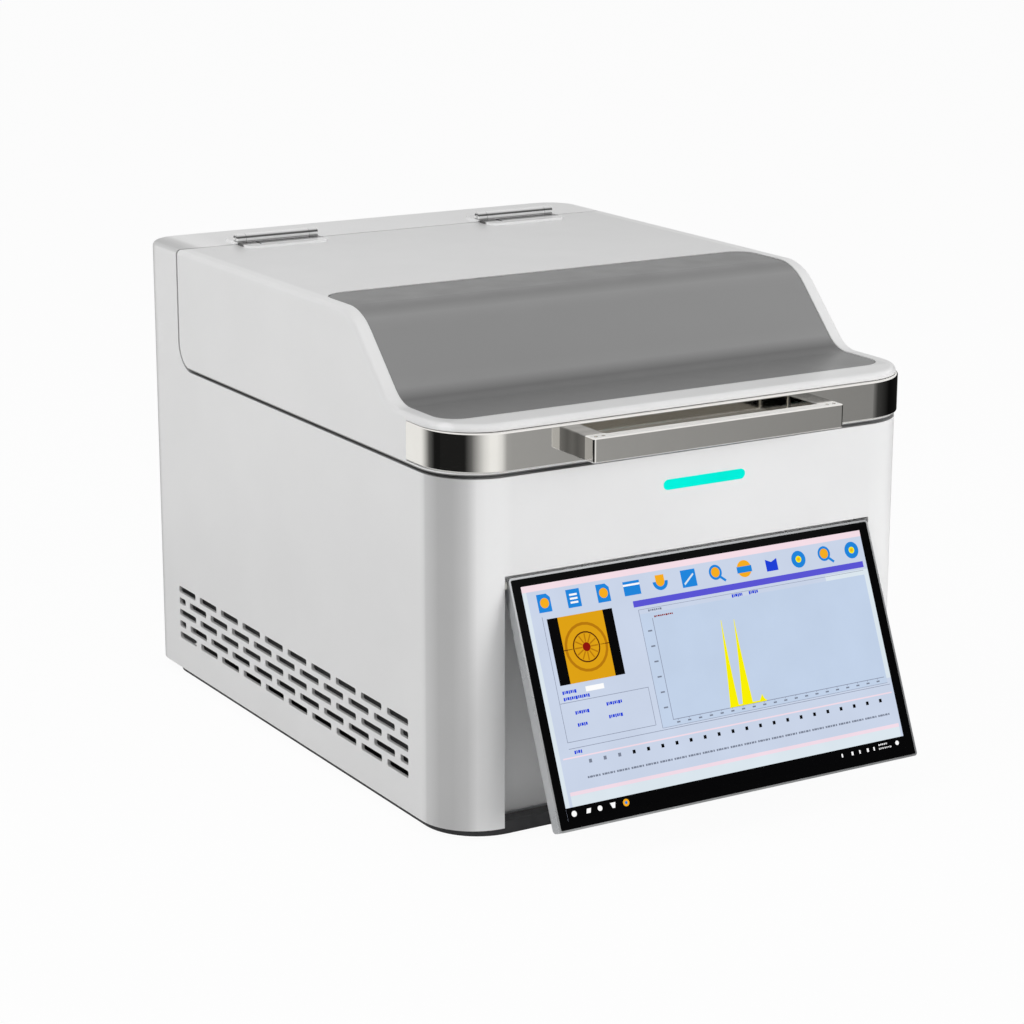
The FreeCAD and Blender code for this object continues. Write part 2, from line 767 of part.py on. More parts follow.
def cut_slots(shell):
    """Five rows of ventilation slots through both sides, every second row set over by half."""
    start = front_y + slot_field_front
    low, high = -half_width, half_width

    def rows(numbers, offset, length):
        return [oblong(
            start + offset, slot_field_low + slot_row_pitch * row,
            start + offset + length, slot_field_low + slot_row_pitch * row + slot_tall, slot_round,
        ) for row in numbers]

    full = shell.pocket("YZ", low, high, *rows((0, 2, 4), 0, slot_long))
    shell.repeat(full, "Y", slot_pitch, slot_count)
    over = shell.pocket("YZ", low, high, *rows((1, 3), slot_pitch / 2, slot_long))
    shell.repeat(over, "Y", slot_pitch, slot_count - 1)
    stubs = shell.pocket("YZ", low, high, *rows((1, 3), 0, slot_stub))
    shell.repeat(stubs, "Y", slot_pitch * (slot_count - 1) + slot_long - slot_stub, 2)


def hinge_screw_places():
    """Middle of each screw that holds a hinge base, counted along X."""
    return [hinge_half_pitch * side + hinge_screw_half * end for side in (-1, 1) for end in (-1, 1)]


def rear_screw_rings(radius):
    """Circles of the rear panel's screws."""
    high = rear_window_high + rear_border / 2
    low = rear_window_low - rear_border / 2
    edge = rear_window_half - rear_border
    return [Ring(x, z, radius) for z in (low, high) for x in (-edge, as_size(0), edge)]


def build_chamber():
    """Folded steel sample tray with its measuring window."""
    tray = keep(Solid("chamber_tray"))
    slack = fit
    rear = chamber_rear - slack
    front = chamber_front + slack
    half = chamber_half - slack
    tray.pad("XY", chamber_floor, rim_height, oblong(-half, front, half, rear, chamber_corner - slack))
    inner = oblong(
        -half + chamber_sheet, front + chamber_sheet, half - chamber_sheet, rear - chamber_sheet,
        chamber_corner - slack - chamber_sheet,
    )
    flange = oblong(
        -half - chamber_flange, front - chamber_flange, half + chamber_flange, rear + chamber_flange,
        chamber_corner + chamber_flange,
    )
    tray.pad("XY", rim_height, rim_height + chamber_sheet, flange)
    tray.pocket("XY", chamber_floor + chamber_sheet, rim_height + chamber_sheet, inner)
    tray.pocket("XY", chamber_floor, chamber_floor + chamber_sheet, Ring(0, spot_y, spot_hole))
    ring_low = chamber_floor + chamber_sheet + film_thick
    film = keep(Solid("window_film"))
    film.pad("XY", chamber_floor + chamber_sheet, ring_low, Ring(0, spot_y, ring_outer))
    ring = keep(Solid("window_ring"))
    ring.pad("XY", ring_low, ring_low + ring_tall, Ring(0, spot_y, ring_outer), Ring(0, spot_y, ring_inner))
    ring.bevel(ring_tall / 2, lambda box, edge: near(box.ZMin, ring_low + ring_tall)
               and near(box.XMax, ring_inner))


def lid_block(solid, inset, side, front, rear, bottom, *heel):
    """Fill the form of the lid, drawn in from its outer skin, with its two rounded front corners."""
    solid.pad("YZ", -side, side, lid_side(inset, front, rear, bottom, *heel))
    solid.blend(front_corner - half_width + side, lambda box, edge: near(box.YMin, front)
                and near(box.YMax, front) and near(box.XMin, box.XMax))


def lid_room():
    """Room inside the lid, with a solid heel left at its lower rear edge."""
    room = Solid("lid_room")
    inset = lid_wall
    side = half_width - band_seat - lid_wall
    front = front_y + band_seat + lid_wall
    rear = lid_rear_y - lid_wall
    shift = half_turn * inset
    low = lid_bottom - seam
    heel = seam_round + seam
    room.pad("YZ", -side, side, Loop(
        (front, low), (front, ledge_height - inset),
        (slope_y + shift, ledge_height - inset, hollow_round + inset),
        (crest_y + shift, cabinet_height - inset, crest_round - inset),
        (rear, cabinet_height - inset), (rear, low + heel), (rear - heel, low),
    ))
    room.blend(front_corner - band_seat - lid_wall, lambda box, edge: near(box.YMin, front)
               and near(box.YMax, front) and near(box.XMin, box.XMax))
    return room


def build_lid_shell():
    """White lid: flat top, S-shaped front, ledge, rebate for the band and seats for the hinges."""
    lid = keep(Solid("lid_shell"))
    lid_block(lid, as_size(0), half_width, front_y, lid_rear_y, lid_bottom, seam_round)
    rear = lid_rear_y.value
    lid.blend(edge_round, lambda box, edge: box.ZMin > ledge_height.value - 1e-3 and (
        not near(box.YMin, rear)) and not (near(box.YMin, box.YMax) and not near(box.YMin, front_y))
        and (near(abs(box.XMin), half_width) or near(abs(box.XMax), half_width) or near(box.YMin, front_y)))
    lid.take_away(lid_room())
    out = seam
    side = half_width - band_seat
    rebate_rear = front_y + band_back
    rebate_front = front_y + band_seat
    rebate = Loop(
        (-half_width - out, rebate_rear), (-half_width - out, front_y - out),
        (half_width + out, front_y - out), (half_width + out, rebate_rear), (side, rebate_rear),
        (side, rebate_front, front_corner - band_seat), (-side, rebate_front, front_corner - band_seat),
        (-side, rebate_rear),
    )
    lid.pocket("XY", band_low, band_high, rebate)
    lid.take_away(front_cover_blank("front_cover_room", -lid_wall, cover_sink + cover_thick, cover_gap))
    for x in handle_screw_places():
        bore = Ring(x, (handle_low + handle_high) / 2, handle_screw + fit)
        lid.pocket("XZ", front_y, front_y + band_seat + lid_wall, bore)


def front_cover_blank(label, high_inset, low_inset, grow):
    """A sheet that follows the front of the lid between two depths below its skin."""
    high_inset, low_inset, grow = as_size(high_inset), as_size(low_inset), as_size(grow)
    sheet_body = Solid(label)
    front = front_y + cover_front - grow
    rear = front_y + cover_back + grow
    half = cover_half + grow

    def corners(inset):
        shift = half_turn * inset
        return [
            (front, ledge_height - inset),
            (slope_y + shift, ledge_height - inset, hollow_round + inset),
            (crest_y + shift, cabinet_height - inset, crest_round - inset),
            (rear, cabinet_height - inset),
        ]

    outline = Loop(*corners(high_inset), *reversed(corners(low_inset)))
    sheet_body.pad("YZ", -half, half, outline)
    thick = (low_inset - high_inset).value
    sheet_body.blend(cover_corner + grow, lambda box, edge: near(box.ZMax - box.ZMin, thick)
                     and near(box.YMin, box.YMax) and near(box.XMin, box.XMax))
    return sheet_body


def build_front_cover():
    """Grey cover that runs down the S-shaped front of the lid."""
    keep(front_cover_blank("lid_front_cover", cover_sink, cover_sink + cover_thick, 0))


def handle_screw_places():
    """Middle of each handle screw along X."""
    return [(handle_half - handle_leg / 2) * side for side in (-1, 1)]


def build_band():
    """Chrome band round the front of the lid."""
    band = keep(Solid("chrome_band"))
    outer = half_width + band_side_proud
    inner = half_width - band_seat
    rear = front_y + band_back - fit
    inner_front = front_y + band_seat
    inner_round = front_corner - band_seat
    path = Loop(
        (-outer, rear), (-outer, front_y - band_proud, band_corner),
        (outer, front_y - band_proud, band_corner), (outer, rear), (inner, rear),
        (inner, inner_front, inner_round), (-inner, inner_front, inner_round), (-inner, rear),
    )
    band.pad("XY", band_low + fit, band_high - fit, path)
    low, high = band_low + fit, band_high - fit
    band.blend(band_edge, lambda box, edge: (near(box.ZMin, low) and near(box.ZMax, low)
               or near(box.ZMin, high) and near(box.ZMax, high)) and (
        near(box.XMin, -outer) or near(box.XMax, outer) or near(box.YMin, front_y - band_proud)))
    for x in handle_screw_places():
        bore = Ring(x, (handle_low + handle_high) / 2, handle_screw + fit)
        band.pocket("XZ", front_y - band_proud, front_y + band_seat, bore)


def build_handle():
    """U-shaped chrome pull handle with its two screws from inside the lid."""
    handle = keep(Solid("pull_handle"))
    back = front_y - band_proud
    front = back - handle_reach
    gap = handle_half - handle_leg
    outline = Loop(
        (-handle_half, back), (-handle_half, front, handle_edge * 2),
        (handle_half, front, handle_edge * 2), (handle_half, back), (gap, back),
        (gap, front + handle_bar, handle_edge * 2), (-gap, front + handle_bar, handle_edge * 2),
        (-gap, back),
    )
    handle.pad("XY", handle_low, handle_high, outline)
    handle.blend(handle_edge, lambda box, edge: (near(box.ZMin, handle_low) and near(box.ZMax, handle_low)
                 or near(box.ZMin, handle_high) and near(box.ZMax, handle_high))
                 and not near(box.YMin, back))
    z = (handle_low + handle_high) / 2
    for x in handle_screw_places():
        handle.pocket("XZ", back - handle_screw_grip, back, Ring(x, z, handle_screw + running))
        for end in (-0.5, 0.5):
            dimple = Ring(x + dot_pitch * end, front + handle_bar / 2, dot_radius)
            handle.pocket("XY", handle_high - dot_deep, handle_high, dimple)
    screws = keep(Solid("handle_screws"))
    inside = front_y + band_seat + lid_wall
    for x in handle_screw_places():
        screws.pad("XZ", back - handle_screw_grip + fit, inside, Ring(x, z, handle_screw))
        screws.pad("XZ", inside, inside + screw_head_tall, Ring(x, z, screw_head))


def build_lid_inside():
    """Steel liner of the lid, the lead sheet on it, the rubber seal and the interlock magnet."""
    liner = keep(Solid("lid_liner"))
    front = front_y + liner_inset
    rear = lid_rear_y - seam_round - lid_wall - seal_width
    half = half_width - liner_inset
    bottom = lid_bottom + seam
    lid_block(liner, liner_inset, half, front, rear, bottom)
    liner.hollow(liner_sheet, lambda box: near(box.ZMin, bottom) and near(box.ZMax, bottom))
    reach = half_width - band_seat - lid_wall
    flange_front = front_y + band_seat + lid_wall
    flange_rear = lid_rear_y - seam_round - lid_wall
    flange_corner = front_corner - band_seat - lid_wall
    inner_corner = front_corner - liner_inset - liner_sheet
    gap = liner_sheet
    liner.pad("XY", bottom, bottom + liner_sheet, Loop(
        (-reach, flange_front, flange_corner), (reach, flange_front, flange_corner),
        (reach, flange_rear), (-reach, flange_rear),
    ), Loop(
        (-half + gap, front + gap, inner_corner), (half - gap, front + gap, inner_corner),
        (half - gap, rear - gap), (-half + gap, rear - gap),
    ))
    shield = keep(Solid("lid_lead_shield"))
    low = cabinet_height - liner_inset
    edge = liner_inset * 2
    shield.pad("XY", low, low + shield_thick, oblong(-half + edge, crest_y + edge, half - edge, rear - edge))
    seal = keep(Solid("lid_seal"))
    outer, inner = half + seal_width, half
    corner = front_corner - liner_inset
    seal.pad("XY", rim_height + fit, bottom, Loop(
        (-outer, front - seal_width, corner + seal_width), (outer, front - seal_width, corner + seal_width),
        (outer, rear + seal_width, seal_corner + seal_width),
        (-outer, rear + seal_width, seal_corner + seal_width),
    ), Loop(
        (-inner, front, corner), (inner, front, corner),
        (inner, rear, seal_corner), (-inner, rear, seal_corner),
    ))
    magnet = keep(Solid("interlock_magnet"))
    magnet_y = front_y + cabinet_depth / 2
    magnet.pad("XY", bottom + liner_sheet, bottom + liner_sheet + magnet_side, oblong(
        half + fit * 2, magnet_y, half + fit * 2 + magnet_side, magnet_y + magnet_side * 2))
    sensor = keep(Solid("interlock_sensor"))
    sensor.pad("XY", rim_height - wall - magnet_side * 1.5, rim_height - wall, oblong(
        half + fit * 2, magnet_y, half + fit * 2 + magnet_side, magnet_y + magnet_side * 2))


def build_hinges():
    """Two barrel hinges on the top: fixed bases with the pins, and leaves on the lid."""
    bases = keep(Solid("hinge_bases"))
    leaves = keep(Solid("hinge_leaves"))
    pins = keep(Solid("hinge_pins"))
    screws = keep(Solid("hinge_screws"))
    low, high = cabinet_height, cabinet_height + hinge_leaf
    base_front = hinge_y + hinge_barrel + knuckle_gap
    base_rear = base_front + hinge_base_long
    leaf_rear = hinge_y - hinge_barrel - knuckle_gap
    leaf_front = leaf_rear - hinge_leaf_long
    inner = knuckle_half + knuckle_gap
    for side in (-1, 1):
        x = hinge_half_pitch * side
        left, right = x - hinge_half, x + hinge_half
        bases.pad("XY", low, high, Loop(
            (left, hinge_y), (x - inner, hinge_y), (x - inner, base_front),
            (x + inner, base_front), (x + inner, hinge_y), (right, hinge_y),
            (right, base_rear, leaf_corner), (left, base_rear, leaf_corner),
        ))
        bases.pad("YZ", left, x - inner, Ring(hinge_y, hinge_z, hinge_barrel))
        bases.pad("YZ", x + inner, right, Ring(hinge_y, hinge_z, hinge_barrel))
        notch = x - hinge_notch
        notch_rear, notch_front = leaf_rear, leaf_front + hinge_leaf_long / 4
        leaves.pad("XY", low, high, Loop(
            (left, leaf_front, leaf_corner), (right, leaf_front, leaf_corner), (right, leaf_rear),
            (x + knuckle_half, leaf_rear), (x + knuckle_half, hinge_y),
            (x - knuckle_half, hinge_y), (x - knuckle_half, leaf_rear), (left, leaf_rear),
        ))
        leaves.pocket("XY", low, high, oblong(
            notch - notch_width / 2, notch_front, notch + notch_width / 2, notch_rear))
        leaves.pad("YZ", x - knuckle_half, x + knuckle_half, Ring(hinge_y, hinge_z, hinge_barrel))
        bases.pocket("YZ", left, right, Ring(hinge_y, hinge_z, hinge_pin + running / 2))
        leaves.pocket("YZ", left, right, Ring(hinge_y, hinge_z, hinge_pin + running))
        pins.pad("YZ", left, right, Ring(hinge_y, hinge_z, hinge_pin))
    for x in hinge_screw_places():
        bases.pocket("XY", low, high, Ring(x, hinge_screw_y, small_screw))
        shank = Ring(x, hinge_screw_y, small_screw - running)
        screws.pad("XY", cabinet_height - wall - small_head_tall, high, shank)
        screws.pad("XY", high, high + small_head_tall, Ring(x, hinge_screw_y, small_head))


def build_display():
    """Touch display on two side pivots: cover, panel, board and glass, tilted out of the niche."""
    half = display_width / 2
    top = pivot_down
    bottom = pivot_down - display_tall
    front = -pivot_in
    back = display_thick - pivot_in
    turned = -display_tilt
    cover = keep(Solid("display_cover"))
    cover.pad("XZ", front, back, oblong(-half, bottom, half, top, display_corner))
    cover.blend(display_edge, lambda box, edge: near(box.YMin, back) and near(box.YMax, back))
    inner = oblong(
        -half + display_rim, bottom + display_rim, half - display_rim, top - display_rim, display_corner / 2)
    cover.pocket("XZ", front, front + glass_thick, inner)
    wide, tall = panel_width / 2, panel_tall
    low = bottom + (display_tall - panel_tall) / 2
    cover.pocket("XZ", front, back - display_back_wall, oblong(
        -wide - fit, low - fit, wide + fit, low + tall + fit))
    pin_room = pivot_bite + fit
    for side in (-1, 1):
        inner_x, outer_x = (half - pin_room) * side, half * side
        bore = Ring(0, 0, pivot_radius + running)
        cover.pocket("YZ", *((inner_x, outer_x) if side > 0 else (outer_x, inner_x)), bore)
    panel_front = front + glass_thick
    panel = keep(Solid("display_panel"))
    panel.pad("XZ", panel_front, panel_front + panel_thick, oblong(-wide, low, wide, low + tall))
    board = keep(Solid("display_board"))
    board_front = panel_front + panel_thick
    board.pad("XZ", board_front, back - display_back_wall, oblong(
        -board_half, low + board_low, board_half, low + board_low + board_tall))
    glass = keep(Solid("display_glass"))
    glass_gap = fit / 2
    glass.pad("XZ", front, front + glass_thick, oblong(
        -half + display_rim + glass_gap, bottom + display_rim + glass_gap,
        half - display_rim - glass_gap, top - display_rim - glass_gap, display_corner / 2))
    for piece in (cover, panel, board, glass):
        piece.place(0, pivot_y, pivot_height, "X", turned)
    pins = keep(Solid("display_pivot_pins"))
    washers = keep(Solid("display_washers"))
    for side in (-1, 1):
        low_x, high_x = half - pivot_bite, niche_half + wall
        ends = (low_x, high_x) if side > 0 else (-high_x, -low_x)
        pins.pad("YZ", *ends, Ring(pivot_y, pivot_height, pivot_radius))
        low_x, high_x = half + fit, niche_half
        ends = (low_x, high_x) if side > 0 else (-high_x, -low_x)
        washers.pad("YZ", *ends, Ring(pivot_y, pivot_height, washer_radius), Ring(
            pivot_y, pivot_height, pivot_radius + running))


def build_status_light():
    """Light bar in the front and the board behind it."""
    lens = keep(Solid("status_light"))
    tall = (light_high - light_low) / 2 - light_gap
    lens.pad("XZ", front_y - light_proud, front_y + wall, oblong(
        light_left + light_gap, light_low + light_gap, light_right - light_gap, light_high - light_gap,
        tall * 0.999))
    low, high = light_low - light_flange, light_high + light_flange
    left, right = light_left - light_flange, light_right + light_flange
    lens.pad("XZ", front_y + wall, front_y + wall + light_flange, oblong(
        left, low, right, high, light_flange))
    board = keep(Solid("status_light_board"))
    start = front_y + wall + light_flange
    board.pad("XZ", start, start + board_sheet, oblong(left, low, right, high))


def build_rear():
    """Rear panel with the fan grilles, mains inlet, switch and ports."""
    panel = keep(Solid("rear_panel"))
    inside = rear_y - wall
    outline = oblong(
        -rear_window_half - rear_border, rear_window_low - rear_border,
        rear_window_half + rear_border, rear_window_high + rear_border,
    )
    panel.pad("XZ", inside - rear_sheet, inside, outline)
    panel.pocket("XZ", inside - rear_sheet, inside, *rear_screw_rings(small_screw))
    for x in fan_places():
        panel.pocket("XZ", inside - rear_sheet, inside, Ring(x, fan_z, grille_step / 2))
        for step in range(1, 4):
            arcs = grille_arcs(x, grille_step * step)
            panel.pocket("XZ", inside - rear_sheet, inside, *arcs)
        holes = [Ring(x + fan_hole * a, fan_z + fan_hole * b, small_screw) for a in (-1, 1) for b in (-1, 1)]
        panel.pocket("XZ", inside - rear_sheet, inside, *holes)
    panel.pocket("XZ", inside - rear_sheet, inside, oblong(
        inlet_x - inlet_half, inlet_z - inlet_tall, inlet_x + inlet_half, inlet_z + inlet_tall, wall))
    panel.pocket("XZ", inside - rear_sheet, inside, oblong(
        switch_x - switch_half, inlet_z - switch_tall, switch_x + switch_half, inlet_z + switch_tall))
    panel.pocket("XZ", inside - rear_sheet, inside, oblong(
        port_x - port_half, inlet_z - port_tall, port_x + port_half, inlet_z + port_tall))
    screws = keep(Solid("rear_panel_screws"))
    screws.pad("XZ", inside - rear_sheet - wall, rear_y, *rear_screw_rings(small_screw - running))
    build_fans(inside - rear_sheet)
    build_inlet(inside)
    build_switch(inside)
    build_ports(inside)


def fan_places():
    """Middle of each fan along X."""
    return [fan_half_pitch * side for side in (-1, 1)]


def grille_arcs(x, radius):
    """Four curved openings of one ring of a fan grille, as eight-cornered outlines."""
    outer = radius + grille_step / 2
    inner = radius
    web = grille_web / 2
    arcs = []
    for a, b in ((1, 1), (-1, 1), (-1, -1), (1, -1)):
        share_out, share_in = outer * 0.7071, inner * 0.7071
        arcs.append(Loop(
            (x + web * a, fan_z + inner * b), (x + web * a, fan_z + outer * b),
            (x + share_out * a, fan_z + share_out * b), (x + outer * a, fan_z + web * b),
            (x + inner * a, fan_z + web * b), (x + share_in * a, fan_z + share_in * b),
        ))
    return arcs


def build_fans(back):
    """Two axial fans behind the rear panel: frames with ribs and bladed rotors."""
    frames = keep(Solid("fan_frames"))
    front = back - fan_deep
    for x in fan_places():
        frames.pad("XZ", front, back, oblong(
            x - fan_half, fan_z - fan_half, x + fan_half, fan_z + fan_half, rear_border / 2),
            Ring(x, fan_z, fan_bore))
        frames.pad("XZ", front, front + fan_rib_deep, Ring(x, fan_z, fan_hub))
        for box in (oblong(x - fan_bore - fit, fan_z - fan_rib / 2, x + fan_bore + fit, fan_z + fan_rib / 2),
                    oblong(x - fan_rib / 2, fan_z - fan_bore - fit, x + fan_rib / 2, fan_z + fan_bore + fit)):
            frames.pad("XZ", front, front + fan_rib_deep, box)
        spindle_end = back - fan_rib_deep
        frames.pad("XZ", front + fan_rib_deep, spindle_end, Ring(x, fan_z, small_screw * 2))
        holes = [Ring(x + fan_hole * a, fan_z + fan_hole * b, small_screw) for a in (-1, 1) for b in (-1, 1)]
        frames.pocket("XZ", front, back, *holes)
    for x, label in zip(fan_places(), ("fan_rotor_left", "fan_rotor_right")):
        rotor = keep(Solid(label))
        low = front + fan_rib_deep * 2 - back
        high = -fan_rib_deep / 2
        rotor.pad("XZ", low, high, Ring(0, 0, fan_hub))
        tip = fan_bore - fan_tip_gap
        blade = Loop(
            (low, -blade_lean), (low, -blade_lean + blade_thick),
            (high - fit, blade_lean), (high - fit, blade_lean - blade_thick),
        )
        vane = rotor.body.newObject("PartDesign::Pad", "Blade")
        drawing = rotor.sketch("YZ", fan_hub * 0.85, [blade])
        vane.Profile = drawing
        vane.setExpression("Length", (tip - fan_hub * 0.85).text)
        rotor.body.Tip = vane
        rotor.circle_round(vane, "Y", fan_blades)
        rotor.pocket("XZ", low, high, Ring(0, 0, small_screw * 2 + running))
        rotor.place(x, back, fan_z)


def build_inlet(outside):
    """Mains inlet with its socket and three flat pins."""
    inlet = keep(Solid("power_inlet"))
    half, tall = inlet_half - fit, inlet_tall - fit
    inlet.pad("XZ", outside - rear_sheet - inlet_deep, outside, oblong(
        inlet_x - half, inlet_z - tall, inlet_x + half, inlet_z + tall, wall))
    ear = oblong(
        inlet_x - half - inlet_ear, inlet_z - tall - inlet_wall, inlet_x + half + inlet_ear,
        inlet_z + tall + inlet_wall, wall)
    inlet.pad("XZ", outside, outside + inlet_wall, ear)
    socket_half, socket_tall = half - inlet_wall, tall - inlet_wall
    corner = inlet_wall * 2
    inlet.pocket("XZ", outside - rear_sheet - inlet_deep + inlet_wall * 2, outside + inlet_wall, Loop(
        (inlet_x - socket_half, inlet_z - socket_tall), (inlet_x + socket_half, inlet_z - socket_tall),
        (inlet_x + socket_half, inlet_z + socket_tall - corner),
        (inlet_x + socket_half - corner, inlet_z + socket_tall),
        (inlet_x - socket_half + corner, inlet_z + socket_tall),
        (inlet_x - socket_half, inlet_z + socket_tall - corner)))
    pins = keep(Solid("inlet_pins"))
    deep = outside - rear_sheet - inlet_deep + inlet_wall * 2
    for across, up in ((-inlet_pin_pitch, -inlet_pin_rise), (as_size(0), inlet_pin_rise),
                       (inlet_pin_pitch, -inlet_pin_rise)):
        x, z = inlet_x + across, inlet_z + up
        pins.pad("XZ", deep, outside - inlet_wall, oblong(x - 1, z - inlet_wall, x + 1, z + inlet_wall))


def build_switch(outside):
    """Power switch: a fixed frame and a rocker that turns on a cross pin."""
    frame = keep(Solid("switch_frame"))
    half, tall = switch_half - fit, switch_tall - fit
    deep = outside - rear_sheet - switch_deep
    frame.pad("XZ", deep, outside, oblong(
        switch_x - half, inlet_z - tall, switch_x + half, inlet_z + tall))
    frame.pad("XZ", outside, outside + inlet_wall, oblong(
        switch_x - half - switch_frame, inlet_z - tall - switch_frame,
        switch_x + half + switch_frame, inlet_z + tall + switch_frame, switch_frame))
    frame.pocket("XZ", deep + switch_frame, outside + inlet_wall, oblong(
        switch_x - half + switch_frame, inlet_z - tall + switch_frame,
        switch_x + half - switch_frame, inlet_z + tall - switch_frame))
    rocker_half = half - switch_frame - fit
    arm = tall - switch_frame - fit * 2
    pin_y = outside - rocker_sink
    frame.pocket("YZ", switch_x - half, switch_x + half, Ring(pin_y, inlet_z, switch_frame / 2 + running))
    rocker = keep(Solid("switch_rocker"))
    lean = rocker_angle / 2
    profile = Loop(
        (-rocker_sink * 0.6, -arm * 0.35), (rocker_sink - inlet_wall, -arm * 0.94),
        (rocker_sink * 0.35, as_size(0)), (rocker_sink - inlet_wall, arm * 0.94),
        (-rocker_sink * 0.6, arm * 0.35),
    )
    rocker.pad("YZ", -rocker_half, rocker_half, profile)
    rocker.pad("YZ", -half, half, Ring(0, 0, switch_frame / 2))
    rocker.place(switch_x, pin_y, inlet_z, "X", lean)


def build_ports(outside):
    """Data port block with two flat sockets and one square one."""
    block = keep(Solid("port_block"))
    half, tall = port_half - fit, port_tall - fit
    block.pad("XZ", outside - rear_sheet - switch_deep, outside, oblong(
        port_x - half, inlet_z - tall, port_x + half, inlet_z + tall))
    deep = outside - switch_deep + rear_sheet
    left = port_x - half + inlet_wall
    for row in (-1, 1):
        middle = inlet_z + usb_half_pitch * row
        block.pocket("XZ", deep, outside, oblong(
            left, middle - usb_half_tall, left + usb_wide, middle + usb_half_tall))
        block.pad("XZ", deep, outside - inlet_wall, oblong(
            left + inlet_wall, middle, left + usb_wide - inlet_wall, middle + usb_tongue))
    right = port_x + half - inlet_wall
    lan_half = tall - inlet_wall * 2
    block.pocket("XZ", deep, outside, oblong(
        right - usb_wide, inlet_z - lan_half, right, inlet_z + lan_half))


def add_gear(solid, teeth, turn, low, high):
    """Spur gear round the body's Z axis with slim straight-flanked teeth."""
    pitch_radius = wheel_module * teeth / 2
    step = 360 / teeth
    root = pitch_radius - wheel_module * tooth_root
    tip = pitch_radius + wheel_module * tooth_tip
    solid.pad("XY", low, high, Ring(0, 0, root))
    corners = []
    for share, radius in ((-0.25, root - tooth_root), (-0.11, tip), (0.11, tip), (0.25, root - tooth_root)):
        angle = Size(turn + share * step, repr(turn + share * step))
        corners.append((radius * cosine(angle), radius * sine(angle)))
    tooth = solid.pad("XY", low, high, Loop(*corners))
    solid.circle_round(tooth, "Z", teeth)


def build_optics():
    """Optics plate with the tube, filter wheel, collimator, detector and camera."""
    plate = keep(Solid("optics_plate"))
    front, rear = spot_y - plate_front, spot_y + plate_rear
    plate.pad("XY", plate_z, plate_top, oblong(-plate_half, front, plate_half, rear, pillar_inset))
    plate.pocket("XY", plate_z, plate_top, Ring(0, spot_y, tube_neck + fit))
    plate.pad("XY", plate_top, wheel_z + wheel_thick, Ring(wheel_x, spot_y, wheel_axle))
    plate.pad("XY", plate_top, wheel_z - running, Ring(wheel_x, spot_y, wheel_axle * 2))
    plate.pocket("XY", plate_z, plate_top, Ring(pinion_x, spot_y, shaft_radius * 2))
    pillars = keep(Solid("optics_pillars"))
    side = plate_half - pillar_inset
    places = [(x, y) for x in (-side, side) for y in (front + pillar_inset, rear - pillar_inset)]
    pillars.pad("XY", plate_top, chamber_floor, *[Ring(x, y, pillar_radius) for x, y in places])
    build_tube()
    build_filter_wheel()
    build_collimator()
    build_detector()
    build_camera()


def build_tube():
    """X-ray tube hung under the plate, with its finned heat sink."""
    tube = keep(Solid("x_ray_tube"))
    low = plate_z - tube_long
    tube.pad("XY", low, plate_z, Ring(0, spot_y, tube_radius))
    tube.pad("XY", plate_z - tube_flange_thick, plate_z, Ring(0, spot_y, tube_flange))
    tube.pad("XY", plate_z, wheel_z - fit * 2, Ring(0, spot_y, tube_neck))
    tube.bevel(tube_flange_thick / 2, lambda box, edge: near(box.ZMin, low) and near(box.ZMax, low))
    tube.pad("YZ", -tube_radius - gland_long, -tube_radius / 2, Ring(spot_y, cable_z, gland_radius))
    sink = keep(Solid("tube_heat_sink"))
    sink_low = low + tube_cable_rise * 2
    sink_high = sink_low + sink_pitch * (sink_fins - 1) + sink_thick
    sleeve = tube_radius + sink_thick
    sink.pad("XY", sink_low, sink_high, Ring(0, spot_y, sleeve), Ring(0, spot_y, tube_radius + running))
    fin_edge = sleeve + sink_reach
    first = sink.pad("XY", sink_low, sink_low + sink_thick, oblong(
        -fin_edge, spot_y - fin_edge, fin_edge, spot_y + fin_edge, sink_reach), Ring(0, spot_y, sleeve - fit))
    sink.repeat(first, "Z", sink_pitch, sink_fins)


def build_filter_wheel():
    """Geared filter wheel with six apertures, its pinion and its motor."""
    wheel = keep(Solid("filter_wheel"))
    add_gear(wheel, wheel_teeth, 0, 0, wheel_thick)
    wheel.pocket("XY", 0, wheel_thick, Ring(0, 0, wheel_axle + running))
    hole = wheel.pocket("XY", 0, wheel_thick, Ring(wheel_orbit, 0, aperture))
    wheel.circle_round(hole, "Z", 6)
    wheel.place(wheel_x, spot_y, wheel_z)
    pinion = keep(Solid("filter_pinion"))
    add_gear(pinion, pinion_teeth, 180 / pinion_teeth, 0, wheel_thick)
    shaft_low = -wheel_gap - plate_thick - shaft_deep
    pinion.pad("XY", shaft_low, 0, Ring(0, 0, shaft_radius))
    pinion.place(pinion_x, spot_y, wheel_z)
    motor = keep(Solid("filter_motor"))
    motor.pad("XY", plate_z - motor_tall, plate_z, oblong(
        pinion_x - motor_half, spot_y - motor_half, pinion_x + motor_half, spot_y + motor_half, wall))
    motor.pocket("XY", plate_z - shaft_deep - fit, plate_z, Ring(pinion_x, spot_y, shaft_radius + running))


